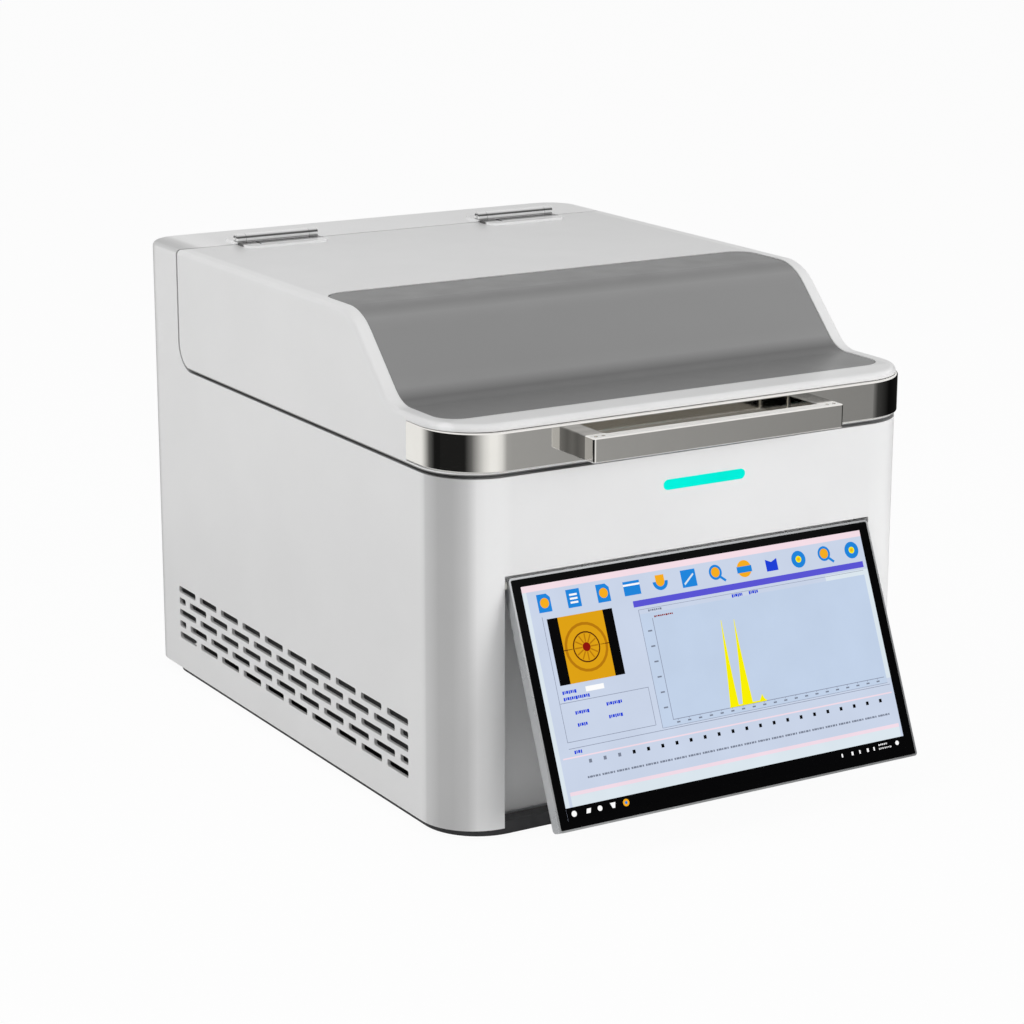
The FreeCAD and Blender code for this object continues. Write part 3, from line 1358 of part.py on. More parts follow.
def build_collimator():
    """Collimator slide with four holes in its guide, moved by a lead screw."""
    low, high = slide_z, slide_z + slide_thick
    guide = keep(Solid("collimator_guide"))
    front, rear = spot_y - rail_front, spot_y + rail_rear
    wide = rail_x + rail_thick
    guide.pad("XY", low - rail_thick, low, oblong(-wide, front, wide, rear))
    for side in (-1, 1):
        low_x, high_x = (rail_x, wide) if side > 0 else (-wide, -rail_x)
        guide.pad("XY", low, high, oblong(low_x, front, high_x, rear))
    guide.pad("XY", plate_top, low, oblong(-wide, rear - guide_foot, wide, rear))
    guide.pocket("XY", low - rail_thick, low, Ring(0, spot_y, aperture))
    slide = keep(Solid("collimator_slide"))
    slide_end = spot_y + slide_pitch * (slide_holes - 1) + slide_half + nut_long
    tail = spot_y - slide_half
    slide.pad("XY", low + running, high - running, oblong(-slide_half, tail, slide_half, slide_end))
    hole = slide.pocket("XY", low, high, Ring(0, spot_y, slide_hole))
    slide.repeat(hole, "Y", slide_pitch, slide_holes)
    nut_x = nut_reach
    arm_low = high + fit
    slide.pad("XY", high - fit, arm_low, oblong(
        -slide_half + fit, slide_end - fit, slide_half - fit, slide_end))
    slide.pad("XY", arm_low, rod_z + nut_tall / 2, oblong(
        -slide_half + fit, slide_end - nut_long, nut_x + nut_half, slide_end))
    slide.pad("XY", rod_z - nut_tall / 2, rod_z + nut_tall / 2, oblong(
        nut_x - nut_half, slide_end - nut_long, nut_x + nut_half, slide_end))
    slide.pad("XY", low + running, arm_low + fit, oblong(
        -slide_half + fit, slide_end - nut_long, slide_half - fit, slide_end))
    slide.pocket("XZ", slide_end - nut_long, slide_end, Ring(nut_x, rod_z, screw_rod + running))
    motor_y = spot_y + screw_motor_back
    rod = keep(Solid("lead_screw"))
    rod.pad("XZ", spot_y, motor_y + shaft_deep, Ring(nut_x, rod_z, screw_rod))
    motor = keep(Solid("collimator_motor"))
    motor.pad("XZ", motor_y, motor_y + screw_motor_long, oblong(
        nut_x - screw_motor_half, plate_top, nut_x + screw_motor_half, rod_z + screw_motor_half, wall / 2))
    motor.pocket("XZ", motor_y, motor_y + shaft_deep + fit, Ring(nut_x, rod_z, screw_rod + running))
    beam = keep(Solid("beam_tube"))
    beam.pad("XY", high, high + beam_base_thick, oblong(-wide, spot_y - beam_base, wide, spot_y + beam_base),
             Ring(0, spot_y, beam_inner))
    beam.pad("XY", high + beam_base_thick - fit, spot_z - beam_end_gap, Ring(0, spot_y, beam_outer), Ring(
        0, spot_y, beam_inner))


def build_detector():
    """Silicon drift detector aimed at the measuring spot from the right, between two cheeks."""
    detector = keep(Solid("x_ray_detector"))
    start = detector_gap + snout_long
    detector.pad("XY", -start, -detector_gap, Ring(0, 0, snout_radius))
    detector.pad("XY", -start - detector_long, -start, oblong(
        -detector_half, -detector_half, detector_half, detector_half, wall))
    detector.place(0, spot_y, spot_z, "Y", -detector_angle)
    bracket = keep(Solid("detector_bracket"))
    reach = start + detector_long
    far_x = sine(detector_angle) * reach
    near_x = sine(detector_angle) * start
    high = spot_z - cosine(detector_angle) * (start + detector_half)
    for side in (-1, 1):
        low_y, high_y = (detector_half, detector_half + cheek_thick)
        if side < 0:
            low_y, high_y = -high_y, -low_y
        bracket.pad("XZ", spot_y + low_y, spot_y + high_y, oblong(
            near_x + snout_radius, plate_top, far_x, high))


def build_camera():
    """Camera aimed at the measuring spot from the front, between two cheeks."""
    camera = keep(Solid("camera_module"))
    start = camera_gap + camera_lens_long
    camera.pad("XY", -start, -camera_gap, Ring(0, 0, camera_lens))
    camera.pad("XY", -start - camera_long, -start, oblong(
        -camera_half, -camera_half, camera_half, camera_half, wall))
    camera.place(0, spot_y, spot_z, "X", -detector_angle)
    bracket = keep(Solid("camera_bracket"))
    reach = start + camera_long
    far = sine(detector_angle) * reach
    close = sine(detector_angle) * start + camera_lens
    high = spot_z - cosine(detector_angle) * (start + camera_half)
    for side in (-1, 1):
        low_x, high_x = (camera_half, camera_half + cheek_thick)
        if side < 0:
            low_x, high_x = -high_x, -low_x
        bracket.pad("YZ", low_x, high_x, oblong(spot_y - far, plate_top, spot_y - close, high))


def build_electronics():
    """High-voltage generator and its cable, power supply and the two circuit boards."""
    left, front = generator_left, front_y + generator_front
    right, rear = left + generator_wide, front + generator_deep
    block = keep(Solid("high_voltage_generator"))
    block.pad("XY", floor_z, floor_z + generator_tall, oblong(left, front, right, rear, generator_rib))
    top = floor_z + generator_tall
    rib = block.pad("XY", top, top + generator_rib, oblong(
        left + generator_rib * 2, front + generator_rib * 2,
        left + generator_rib * 3, rear - generator_rib * 2))
    block.repeat(rib, "X", generator_rib * 3, 12)
    cable_x = -tube_radius - cable_run - cable_bend
    block.pad("XZ", front - gland_long, front, Ring(cable_x, cable_z, gland_radius))
    bend_y = spot_y + cable_bend
    cable = keep(Solid("high_voltage_cable"))
    cable.pad("YZ", -tube_radius - cable_run, -tube_radius - gland_long, Ring(spot_y, cable_z, cable_radius))
    cable.pad("XZ", bend_y, front - gland_long, Ring(cable_x, cable_z, cable_radius))
    elbow = cable.body.newObject("PartDesign::AdditiveTorus", "Elbow")
    elbow.AttachmentSupport = (cable.origin("XY_Plane"), [""])
    elbow.MapMode = "FlatFace"
    elbow.setExpression("AttachmentOffset.Base.x", (-tube_radius - cable_run).text)
    elbow.setExpression("AttachmentOffset.Base.y", bend_y.text)
    elbow.setExpression("AttachmentOffset.Base.z", cable_z.text)
    elbow.setExpression("AttachmentOffset.Rotation.Angle", as_size(180).text)
    elbow.setExpression("Radius1", cable_bend.text)
    elbow.setExpression("Radius2", cable_radius.text)
    elbow.Angle3 = 90
    cable.body.Tip = elbow
    supply = keep(Solid("power_supply"))
    x, y = supply_left, front_y + supply_front
    supply.pad("XY", floor_z, floor_z + supply_tall, oblong(x, y, x + supply_wide, y + supply_deep))
    lefts = [x + wall * 4 + (slot_stub + wall * 2) * column for column in range(6)]
    vents = supply.pocket("XY", floor_z + supply_tall - wall, floor_z + supply_tall, *[oblong(
        left, y + wall * 4, left + slot_stub, y + wall * 4 + slot_round * 2) for left in lefts])
    supply.repeat(vents, "Y", slot_round * 4, 12)
    supply.pocket("XY", floor_z + supply_tall / 2, floor_z + supply_tall, oblong(
        x + wall, y + supply_deep - plug_wide, x + supply_wide - wall, y + supply_deep))
    build_board("main_board", main_left, front_y + main_front, main_wide, main_deep, 3)
    build_board("pulse_processor_board", pulse_left, front_y + pulse_front, pulse_wide, pulse_deep, 2)
    posts = keep(Solid("board_standoffs"))
    rings = []
    for x0, y0, wide, deep in ((main_left, front_y + main_front, main_wide, main_deep),
                               (pulse_left, front_y + pulse_front, pulse_wide, pulse_deep)):
        for x in (x0 + board_inset, x0 + wide - board_inset):
            for y in (y0 + board_inset, y0 + deep - board_inset):
                rings.append(Ring(x, y, standoff_radius))
    posts.pad("XY", floor_z, board_z, *rings)


def build_board(label, left, front, wide, deep, chips):
    """Circuit board with flat chips, a finned cooler and a row of plugs."""
    board = keep(Solid(label))
    board.pad("XY", board_z, board_top, oblong(left, front, left + wide, front + deep, board_inset / 2))
    edge = board_inset * 2
    first = board.pad("XY", board_top, board_top + chip_tall, oblong(
        left + edge, front + edge, left + edge + chip_side, front + edge + chip_side))
    board.repeat(first, "X", chip_side * 1.5, chips)
    cooler_y = front + edge * 2 + chip_side
    board.pad("XY", board_top, board_top + chip_tall, oblong(
        left + edge, cooler_y, left + edge + chip_side * 1.5, cooler_y + chip_side))
    fin = board.pad("XY", board_top + chip_tall, board_top + fin_tall, oblong(
        left + edge, cooler_y, left + edge + chip_side * 1.5, cooler_y + fin_thick))
    board.repeat(fin, "Y", fin_pitch, 6)
    plug = board.pad("XY", board_top, board_top + plug_tall, oblong(
        left + edge * 2, front + deep - plug_deep, left + edge * 2 + plug_wide, front + deep))
    board.repeat(plug, "X", plug_wide * 1.5, chips)


build_base_tray()
build_feet()
build_cabinet_shell()
build_chamber()
build_lid_shell()
build_front_cover()
build_band()
build_handle()
build_lid_inside()
build_hinges()
build_display()
build_status_light()
build_rear()
build_optics()
build_electronics()
doc.recompute()

for item in doc.Objects:
    if "Invalid" in item.State or "Error" in item.State:
        raise RuntimeError(f"{item.Label} ({item.Name}) has not been built: {item.State}")
for body in kept:
    if body.Shape.isNull() or not body.Shape.isValid():
        raise RuntimeError(f"{body.Label} has no valid shape")
for body in kept:
    body.Shape.exportStep(f"parts/{body.Label}.step")
    print(body.Label, len(body.Shape.Solids), round(body.Shape.Volume, 1))
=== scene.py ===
"""Finishes and small pieces for the bench x-ray spectrometer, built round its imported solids.

The classes follow the instrument: cabinet, lid, display, light bar, rear, inner parts and studio.
Lengths are in metres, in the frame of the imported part, and the picture's are in millimetres.
"""

import json
import logging
import math
from dataclasses import dataclass, field
from enum import Enum
from typing import NamedTuple

import bmesh
import bpy
from mathutils import Euler, Matrix, Vector


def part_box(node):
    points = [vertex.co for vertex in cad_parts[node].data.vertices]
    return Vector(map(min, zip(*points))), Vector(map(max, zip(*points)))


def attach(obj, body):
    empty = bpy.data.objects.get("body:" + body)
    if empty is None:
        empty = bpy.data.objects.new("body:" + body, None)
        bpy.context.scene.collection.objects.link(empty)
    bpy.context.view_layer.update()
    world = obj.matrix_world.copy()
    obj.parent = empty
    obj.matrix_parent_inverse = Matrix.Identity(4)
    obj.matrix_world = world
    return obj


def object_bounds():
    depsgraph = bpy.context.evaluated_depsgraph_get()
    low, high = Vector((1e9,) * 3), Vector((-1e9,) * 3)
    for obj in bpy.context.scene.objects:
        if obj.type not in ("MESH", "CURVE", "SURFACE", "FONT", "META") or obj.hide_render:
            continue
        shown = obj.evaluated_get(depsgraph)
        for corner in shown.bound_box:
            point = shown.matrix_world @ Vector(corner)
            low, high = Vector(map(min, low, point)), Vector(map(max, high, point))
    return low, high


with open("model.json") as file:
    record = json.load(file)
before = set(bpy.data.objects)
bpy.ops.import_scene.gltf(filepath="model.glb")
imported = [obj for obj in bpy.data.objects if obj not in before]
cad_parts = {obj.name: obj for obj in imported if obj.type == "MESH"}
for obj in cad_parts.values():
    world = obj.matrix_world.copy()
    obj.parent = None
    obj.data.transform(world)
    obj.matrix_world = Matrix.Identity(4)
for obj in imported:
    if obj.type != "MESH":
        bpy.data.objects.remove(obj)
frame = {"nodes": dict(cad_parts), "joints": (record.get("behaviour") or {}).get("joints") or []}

log = logging.getLogger("spectrometer")
cad_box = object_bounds()
NODES = frame["nodes"]
JOINTS = {joint["name"]: joint for joint in frame["joints"]}
Tones = tuple[tuple[float, float], ...]


def paint(code: str) -> tuple[float, float, float, float]:
    """Turn a hexadecimal screen colour into the linear colour that a shader takes.

    Args:
        code: Six hexadecimal digits.

    Returns:
        Linear red, green, blue and an alpha of 1.
    """
    shares = [int(code[i:i + 2], 16) / 255 for i in (0, 2, 4)]
    linear = [s / 12.92 if s <= 0.04045 else ((s + 0.055) / 1.055) ** 2.4 for s in shares]
    return (linear[0], linear[1], linear[2], 1.0)


class Grain(Enum):
    """Direction in which a metal was brushed."""

    NONE = (1.0, 1.0, 1.0)
    ALONG_X = (0.03, 1.0, 1.0)
    ALONG_Y = (1.0, 0.03, 1.0)


class Axis(Enum):
    """Row axis that a shade runs along."""

    X = 0
    Y = 1
    Z = 2


@dataclass(frozen=True)
class Shade:
    """Painted shade and highlight along one axis of a piece, as a soft change of tone.

    Attributes:
        axis: Axis that the tone changes along.
        start: Place of the first stop.
        end: Place of the last stop.
        tones: Share of the way and tone there: 0 is black, 1 no change and more is brighter.
    """

    axis: Axis
    start: float
    end: float
    tones: Tones


class ShaderSheet:
    """Node tree of one material, with short calls for what the finishes share."""

    def __init__(self, name: str) -> None:
        """Make an empty material with its main shader.

        Args:
            name: Name of the finish.
        """
        self.material = bpy.data.materials.new(name)
        self.material.use_nodes = True
        self.tree = self.material.node_tree
        self.shader = self.tree.nodes["Principled BSDF"]
        self.output = self.tree.nodes["Material Output"]
        self.place = self.tree.nodes.new("ShaderNodeTexCoord").outputs["Object"]

    def set(self, **values: object) -> None:
        """Set sockets of the main shader.

        Args:
            values: Value of each socket, by its name with underscores for spaces.
        """
        for name, value in values.items():
            self.shader.inputs[name.replace("_", " ")].default_value = value

    def link(self, start: bpy.types.NodeSocket, end: bpy.types.NodeSocket) -> None:
        """Join two sockets."""
        self.tree.links.new(start, end)

    def noise(self, scale: float, detail: float = 3.0, stretch: Grain = Grain.NONE) -> bpy.types.NodeSocket:
        """Add a noise, which a grain stretches.

        Args:
            scale: Waves per metre.
            detail: Octaves of the noise.
            stretch: Direction of the grain.

        Returns:
            The noise's value socket.
        """
        mapping = self.tree.nodes.new("ShaderNodeMapping")
        mapping.inputs["Scale"].default_value = stretch.value
        texture = self.tree.nodes.new("ShaderNodeTexNoise")
        texture.inputs["Scale"].default_value = scale
        texture.inputs["Detail"].default_value = detail
        self.link(self.place, mapping.inputs["Vector"])
        self.link(mapping.outputs["Vector"], texture.inputs["Vector"])
        return texture.outputs["Fac"]

    def ramp(self, value: bpy.types.NodeSocket, *stops: tuple[float, tuple]) -> bpy.types.NodeSocket:
        """Turn a value into a colour.

        Args:
            value: Socket that drives the ramp.
            stops: Place and colour of each stop.

        Returns:
            The ramp's colour socket.
        """
        node = self.tree.nodes.new("ShaderNodeValToRGB")
        band = node.color_ramp
        while len(band.elements) < len(stops):
            band.elements.new(1.0)
        for element, (position, colour) in zip(band.elements, stops):
            element.position = position
            element.color = colour
        self.link(value, node.inputs["Fac"])
        return node.outputs["Color"]

    def span(self, value: bpy.types.NodeSocket, low: float, high: float,
             to_low: float = 0.0, to_high: float = 1.0) -> bpy.types.NodeSocket:
        """Map a value from one range to another.

        Args:
            value: Socket with the value.
            low: Start of the value's range.
            high: End of the value's range.
            to_low: Result at the start.
            to_high: Result at the end.

        Returns:
            The result socket.
        """
        node = self.tree.nodes.new("ShaderNodeMapRange")
        for end, number in (("From Min", low), ("From Max", high), ("To Min", to_low), ("To Max", to_high)):
            node.inputs[end].default_value = number
        self.link(value, node.inputs["Value"])
        return node.outputs["Result"]

    def multiply(self, first: bpy.types.NodeSocket, second: bpy.types.NodeSocket) -> bpy.types.NodeSocket:
        """Multiply two colours.

        Args:
            first: Socket of one colour.
            second: Socket of the other.

        Returns:
            The product's socket.
        """
        node = self.tree.nodes.new("ShaderNodeMix")
        node.data_type = "RGBA"
        node.blend_type = "MULTIPLY"
        node.inputs["Factor"].default_value = 1.0
        self.link(first, node.inputs["A"])
        self.link(second, node.inputs["B"])
        return node.outputs["Result"]

    def mottled(self, code: str, depth: float, pattern: bpy.types.NodeSocket,
                margin: float = 0.3) -> bpy.types.NodeSocket:
        """Let a colour wander down to a darker one.

        Args:
            code: Screen colour in hexadecimal.
            depth: Share by which the darker colour falls.
            pattern: Socket that drives the change.
            margin: Share of the pattern at either end that stays plain.

        Returns:
            The colour socket.
        """
        full = paint(code)
        low = tuple(channel * (1 - depth) for channel in full[:3]) + (1.0,)
        return self.ramp(pattern, (margin, low), (1 - margin, full))

    def shade(self, colour: bpy.types.NodeSocket, rule: Shade) -> bpy.types.NodeSocket:
        """Lay painted shade and highlight over a colour.

        Args:
            colour: Colour socket to shade.
            rule: Where the tone changes and by how much.

        Returns:
            The shaded colour socket.
        """
        split = self.tree.nodes.new("ShaderNodeSeparateXYZ")
        self.link(self.place, split.inputs["Vector"])
        share = self.span(split.outputs[rule.axis.value], rule.start, rule.end)
        tone = self.ramp(share, *[(at, (level, level, level, 1.0)) for at, level in rule.tones])
        return self.multiply(colour, tone)

    def colour(self, colour: bpy.types.NodeSocket, shades: tuple[Shade, ...] = ()) -> None:
        """Give the main shader its colour.

        Args:
            colour: Colour socket.
            shades: Painted shades and highlights to lay over it.
        """
        for rule in shades:
            colour = self.shade(colour, rule)
        self.link(colour, self.shader.inputs["Base Color"])

    def roughen(self, pattern: bpy.types.NodeSocket, roughness: float, spread: float) -> None:
        """Let the main shader's roughness wander with a pattern.

        Args:
            pattern: Socket that drives the change.
            roughness: Mean roughness.
            spread: Share by which it rises and falls.
        """
        rough = self.span(pattern, 0.3, 0.7, roughness * (1 - spread), roughness * (1 + spread))
        self.link(rough, self.shader.inputs["Roughness"])

    def bump(self, height: bpy.types.NodeSocket, depth: float) -> None:
        """Add a bump to the main shader.

        Args:
            height: Socket with the height.
            depth: Height of the bump.
        """
        node = self.tree.nodes.new("ShaderNodeBump")
        node.inputs["Distance"].default_value = depth
        self.link(height, node.inputs["Height"])
        self.link(node.outputs["Normal"], self.shader.inputs["Normal"])

    def glow(self, *colour: bpy.types.NodeSocket) -> bpy.types.NodeSocket:
        """Add a plain light.

        Args:
            colour: Its colour socket, or nothing for white.

        Returns:
            The light's shader socket.
        """
        node = self.tree.nodes.new("ShaderNodeEmission")
        for socket in colour:
            self.link(socket, node.inputs["Color"])
        return node.outputs["Emission"]


@dataclass(frozen=True)
class Coating:
    """Paint, powder coat or moulded plastic.

    Attributes:
        name: Name of the finish.
        colour: Screen colour in hexadecimal.
        roughness: Mean roughness.
        texture: Height of the surface's grain.
        texture_scale: Grains per metre.
        mottle: Share by which the tone wanders.
        gloss: Strength of the plain reflection.
        shades: Painted shade and highlights along an axis.
        mottle_scale: Waves of the tone per metre.
        sheen_scale: Waves of the roughness per metre.
    """

    name: str
    colour: str
    roughness: float = 0.35
    texture: float = 0.00002
    texture_scale: float = 900.0
    mottle: float = 0.02
    gloss: float = 0.5
    shades: tuple[Shade, ...] = ()
    mottle_scale: float = 14.0
    sheen_scale: float = 40.0

    def make(self) -> bpy.types.Material:
        """Build the material.

        Returns:
            The new material.
        """
        sheet = ShaderSheet(self.name)
        tone = sheet.mottled(self.colour, self.mottle, sheet.noise(self.mottle_scale), 0.35)
        sheet.colour(tone, self.shades)
        sheet.roughen(sheet.noise(self.sheen_scale), self.roughness, 0.08)
        sheet.set(Specular_IOR_Level=self.gloss)
        sheet.bump(sheet.noise(self.texture_scale, 2.0), self.texture)
        return sheet.material


@dataclass(frozen=True)
class Metal:
    """Bare, brushed or plated metal.

    Attributes:
        name: Name of the finish.
        colour: Screen colour in hexadecimal.
        roughness: Mean roughness.
        grain: Direction of the brushing.
        grain_depth: Height of the brushing.
        tarnish: Share by which the tone wanders.
        shades: Painted shade and highlights along an axis.
        brushed_scale: Marks per metre of brushed metal.
        plain_scale: Marks per metre of metal without a grain.
    """

    name: str
    colour: str
    roughness: float = 0.3
    grain: Grain = Grain.NONE
    grain_depth: float = 0.000006
    tarnish: float = 0.06
    shades: tuple[Shade, ...] = ()
    brushed_scale: float = 1400.0
    plain_scale: float = 60.0

    def make(self) -> bpy.types.Material:
        """Build the material.

        Returns:
            The new material.
        """
        sheet = ShaderSheet(self.name)
        scale = self.plain_scale if self.grain is Grain.NONE else self.brushed_scale
        marks = sheet.noise(scale, stretch=self.grain)
        sheet.colour(sheet.mottled(self.colour, self.tarnish, marks), self.shades)
        sheet.roughen(marks, self.roughness, 0.15)
        sheet.set(Metallic=1.0)
        sheet.bump(marks, self.grain_depth)
        return sheet.material


@dataclass(frozen=True)
class Glow:
    """Lit plastic or a lit patch of the screen.

    Attributes:
        name: Name of the finish.
        colour: Screen colour in hexadecimal.
        strength: Brightness, 1 for the plain colour.
        edge: Share by which the glow falls in its grain.
        roughness: Roughness of the surface over the light.
        body: Tone of the unlit surface.
        gloss: Strength of its plain reflection.
    """

    name: str
    colour: str
    strength: float = 1.0
    edge: float = 0.04
    roughness: float = 0.25
    body: float = 0.001
    gloss: float = 0.02

    def make(self) -> bpy.types.Material:
        """Build the material.

        Returns:
            The new material.
        """
        sheet = ShaderSheet(self.name)
        light = sheet.mottled(self.colour, self.edge, sheet.noise(30.0))
        sheet.link(light, sheet.shader.inputs["Emission Color"])
        sheet.set(Base_Color=(self.body, self.body, self.body, 1.0), Emission_Strength=self.strength,
                  Roughness=self.roughness, Specular_IOR_Level=self.gloss)
        return sheet.material


@dataclass(frozen=True)
class Film:
    """Thin see-through film.

    Attributes:
        name: Name of the finish.
        colour: Screen colour in hexadecimal.
        roughness: Roughness of the surface.
        clearness: Share of the light that passes.
        cover: Share of the film that shows.
    """

    name: str
    colour: str
    roughness: float = 0.08
    clearness: float = 0.7
    cover: float = 0.6

    def make(self) -> bpy.types.Material:
        """Build the material.

        Returns:
            The new material.
        """
        sheet = ShaderSheet(self.name)
        sheet.colour(sheet.mottled(self.colour, 0.06, sheet.noise(80.0)))
        sheet.set(Transmission_Weight=self.clearness, Roughness=self.roughness, Alpha=self.cover)
        return sheet.material


@dataclass(frozen=True)
class CircuitLaminate:
    """Green circuit board with lighter tracks.

    Attributes:
        name: Name of the finish.
        mask: Colour between the tracks.
        track: Colour over the tracks.
        roughness: Roughness of the board.
        track_scale: Size of the pattern of tracks.
        track_width: Width of a track in that pattern.
    """

    name: str
    mask: str
    track: str
    roughness: float = 0.4
    track_scale: float = 90.0
    track_width: float = 0.06

    def make(self) -> bpy.types.Material:
        """Build the material.

        Returns:
            The new material.
        """
        sheet = ShaderSheet(self.name)
        brick = sheet.tree.nodes.new("ShaderNodeTexBrick")
        for name, value in (("Scale", self.track_scale), ("Mortar Size", self.track_width),
                            ("Color1", paint(self.mask)), ("Color2", paint(self.mask)),
                            ("Mortar", paint(self.track))):
            brick.inputs[name].default_value = value
        sheet.link(sheet.place, brick.inputs["Vector"])
        sheet.colour(brick.outputs["Color"])
        sheet.set(Roughness=self.roughness)
        sheet.bump(sheet.noise(500.0), 0.00001)
        return sheet.material


def dress(finish: bpy.types.Material, *nodes: str) -> None:
    """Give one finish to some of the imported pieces.

    Args:
        finish: Material to use.
        nodes: Names of the pieces.
    """
    for name in nodes:
        piece = NODES[name]
        piece.data.materials.clear()
        piece.data.materials.append(finish)
        log.info("dressed %s in %s", name, finish.name)


def new_piece(name: str, mesh: bmesh.types.BMesh, finishes: list[bpy.types.Material],
              place: Matrix | None = None) -> bpy.types.Object:
    """Turn a mesh under construction into a piece of the scene.

    Args:
        name: Name of the piece.
        mesh: Mesh to keep.
        finishes: Materials in the order of the mesh's material numbers.
        place: Place of the piece in the row frame.

    Returns:
        The new object.
    """
    data = bpy.data.meshes.new(name)
    mesh.to_mesh(data)
    mesh.free()
    for finish in finishes:
        data.materials.append(finish)
    piece = bpy.data.objects.new(name, data)
    bpy.context.scene.collection.objects.link(piece)
    if place is not None:
        piece.matrix_world = place
    log.info("built %s", name)
    return piece


def panel(mesh: bmesh.types.BMesh, corners: list[tuple[float, float]], level: float, finish: int) -> None:
    """Add one flat face that looks towards -Y.

    Args:
        mesh: Mesh to add to.
        corners: Across and up of each corner, anticlockwise as seen from -Y.
        level: Y of the face.
        finish: Material number.
    """
    face = mesh.faces.new([mesh.verts.new((x, level, z)) for x, z in corners])
    face.material_index = finish


def smooth(*names: str, angle: float = 32.0) -> None:
    """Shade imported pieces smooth.

    Args:
        names: Names of the pieces.
        angle: Angle in degrees above which an edge stays sharp.
    """
    for name in names:
        mesh = NODES[name].data
        mesh.shade_smooth()
        mesh.set_sharp_from_angle(angle=math.radians(angle))


@dataclass
class Cabinet:
    """White slotted cabinet on its dark tray and rubber feet.

    Attributes:
        side: X of the left side.
        corner_width: Width of the painted shade band and highlight round the rounded front left corner.
        corner_painted_light_tones: Tones round the corner, from the side to the front.
    """

    side: float = cad_box[0].x
    corner_width: float = 0.05
    # Painted light: the side darker, a painted shade band round the front left corner, then a painted
    # highlight where it turns into the front.
    corner_painted_light_tones: Tones = (
        (0.010, 0.83), (0.02, 0.64), (0.09, 0.53), (0.21, 0.56), (0.36, 0.70), (0.48, 0.96), (0.60, 1.0),
        (0.80, 0.98), (1.0, 0.93))

    def dress(self) -> None:
        """Give the cabinet its powder coat with painted shade and a painted corner highlight, the tray its
        dark coat and the feet their rubber.
        """
        # Painted shade and highlight round the front left corner.
        corner = Shade(Axis.X, self.side, self.side + self.corner_width, self.corner_painted_light_tones)
        white = Coating("white_powder_coat", "FCFCFC", 0.34, texture=0.000012, shades=(corner,))
        dress(white.make(), "cabinet_shell")
        dress(Coating("white_rear_coat", "E8E8E8", 0.4, texture=0.000012).make(), "rear_panel")
        dress(Coating("dark_powder_coat", "303032", 0.45).make(), "base_tray")
        dress(Coating("foot_rubber", "1B1B1B", 0.75, 0.00006, 500.0).make(), "rubber_feet")
        dress(Metal("bright_screws", "B9BABC", 0.3).make(), "rear_panel_screws", "hinge_screws")


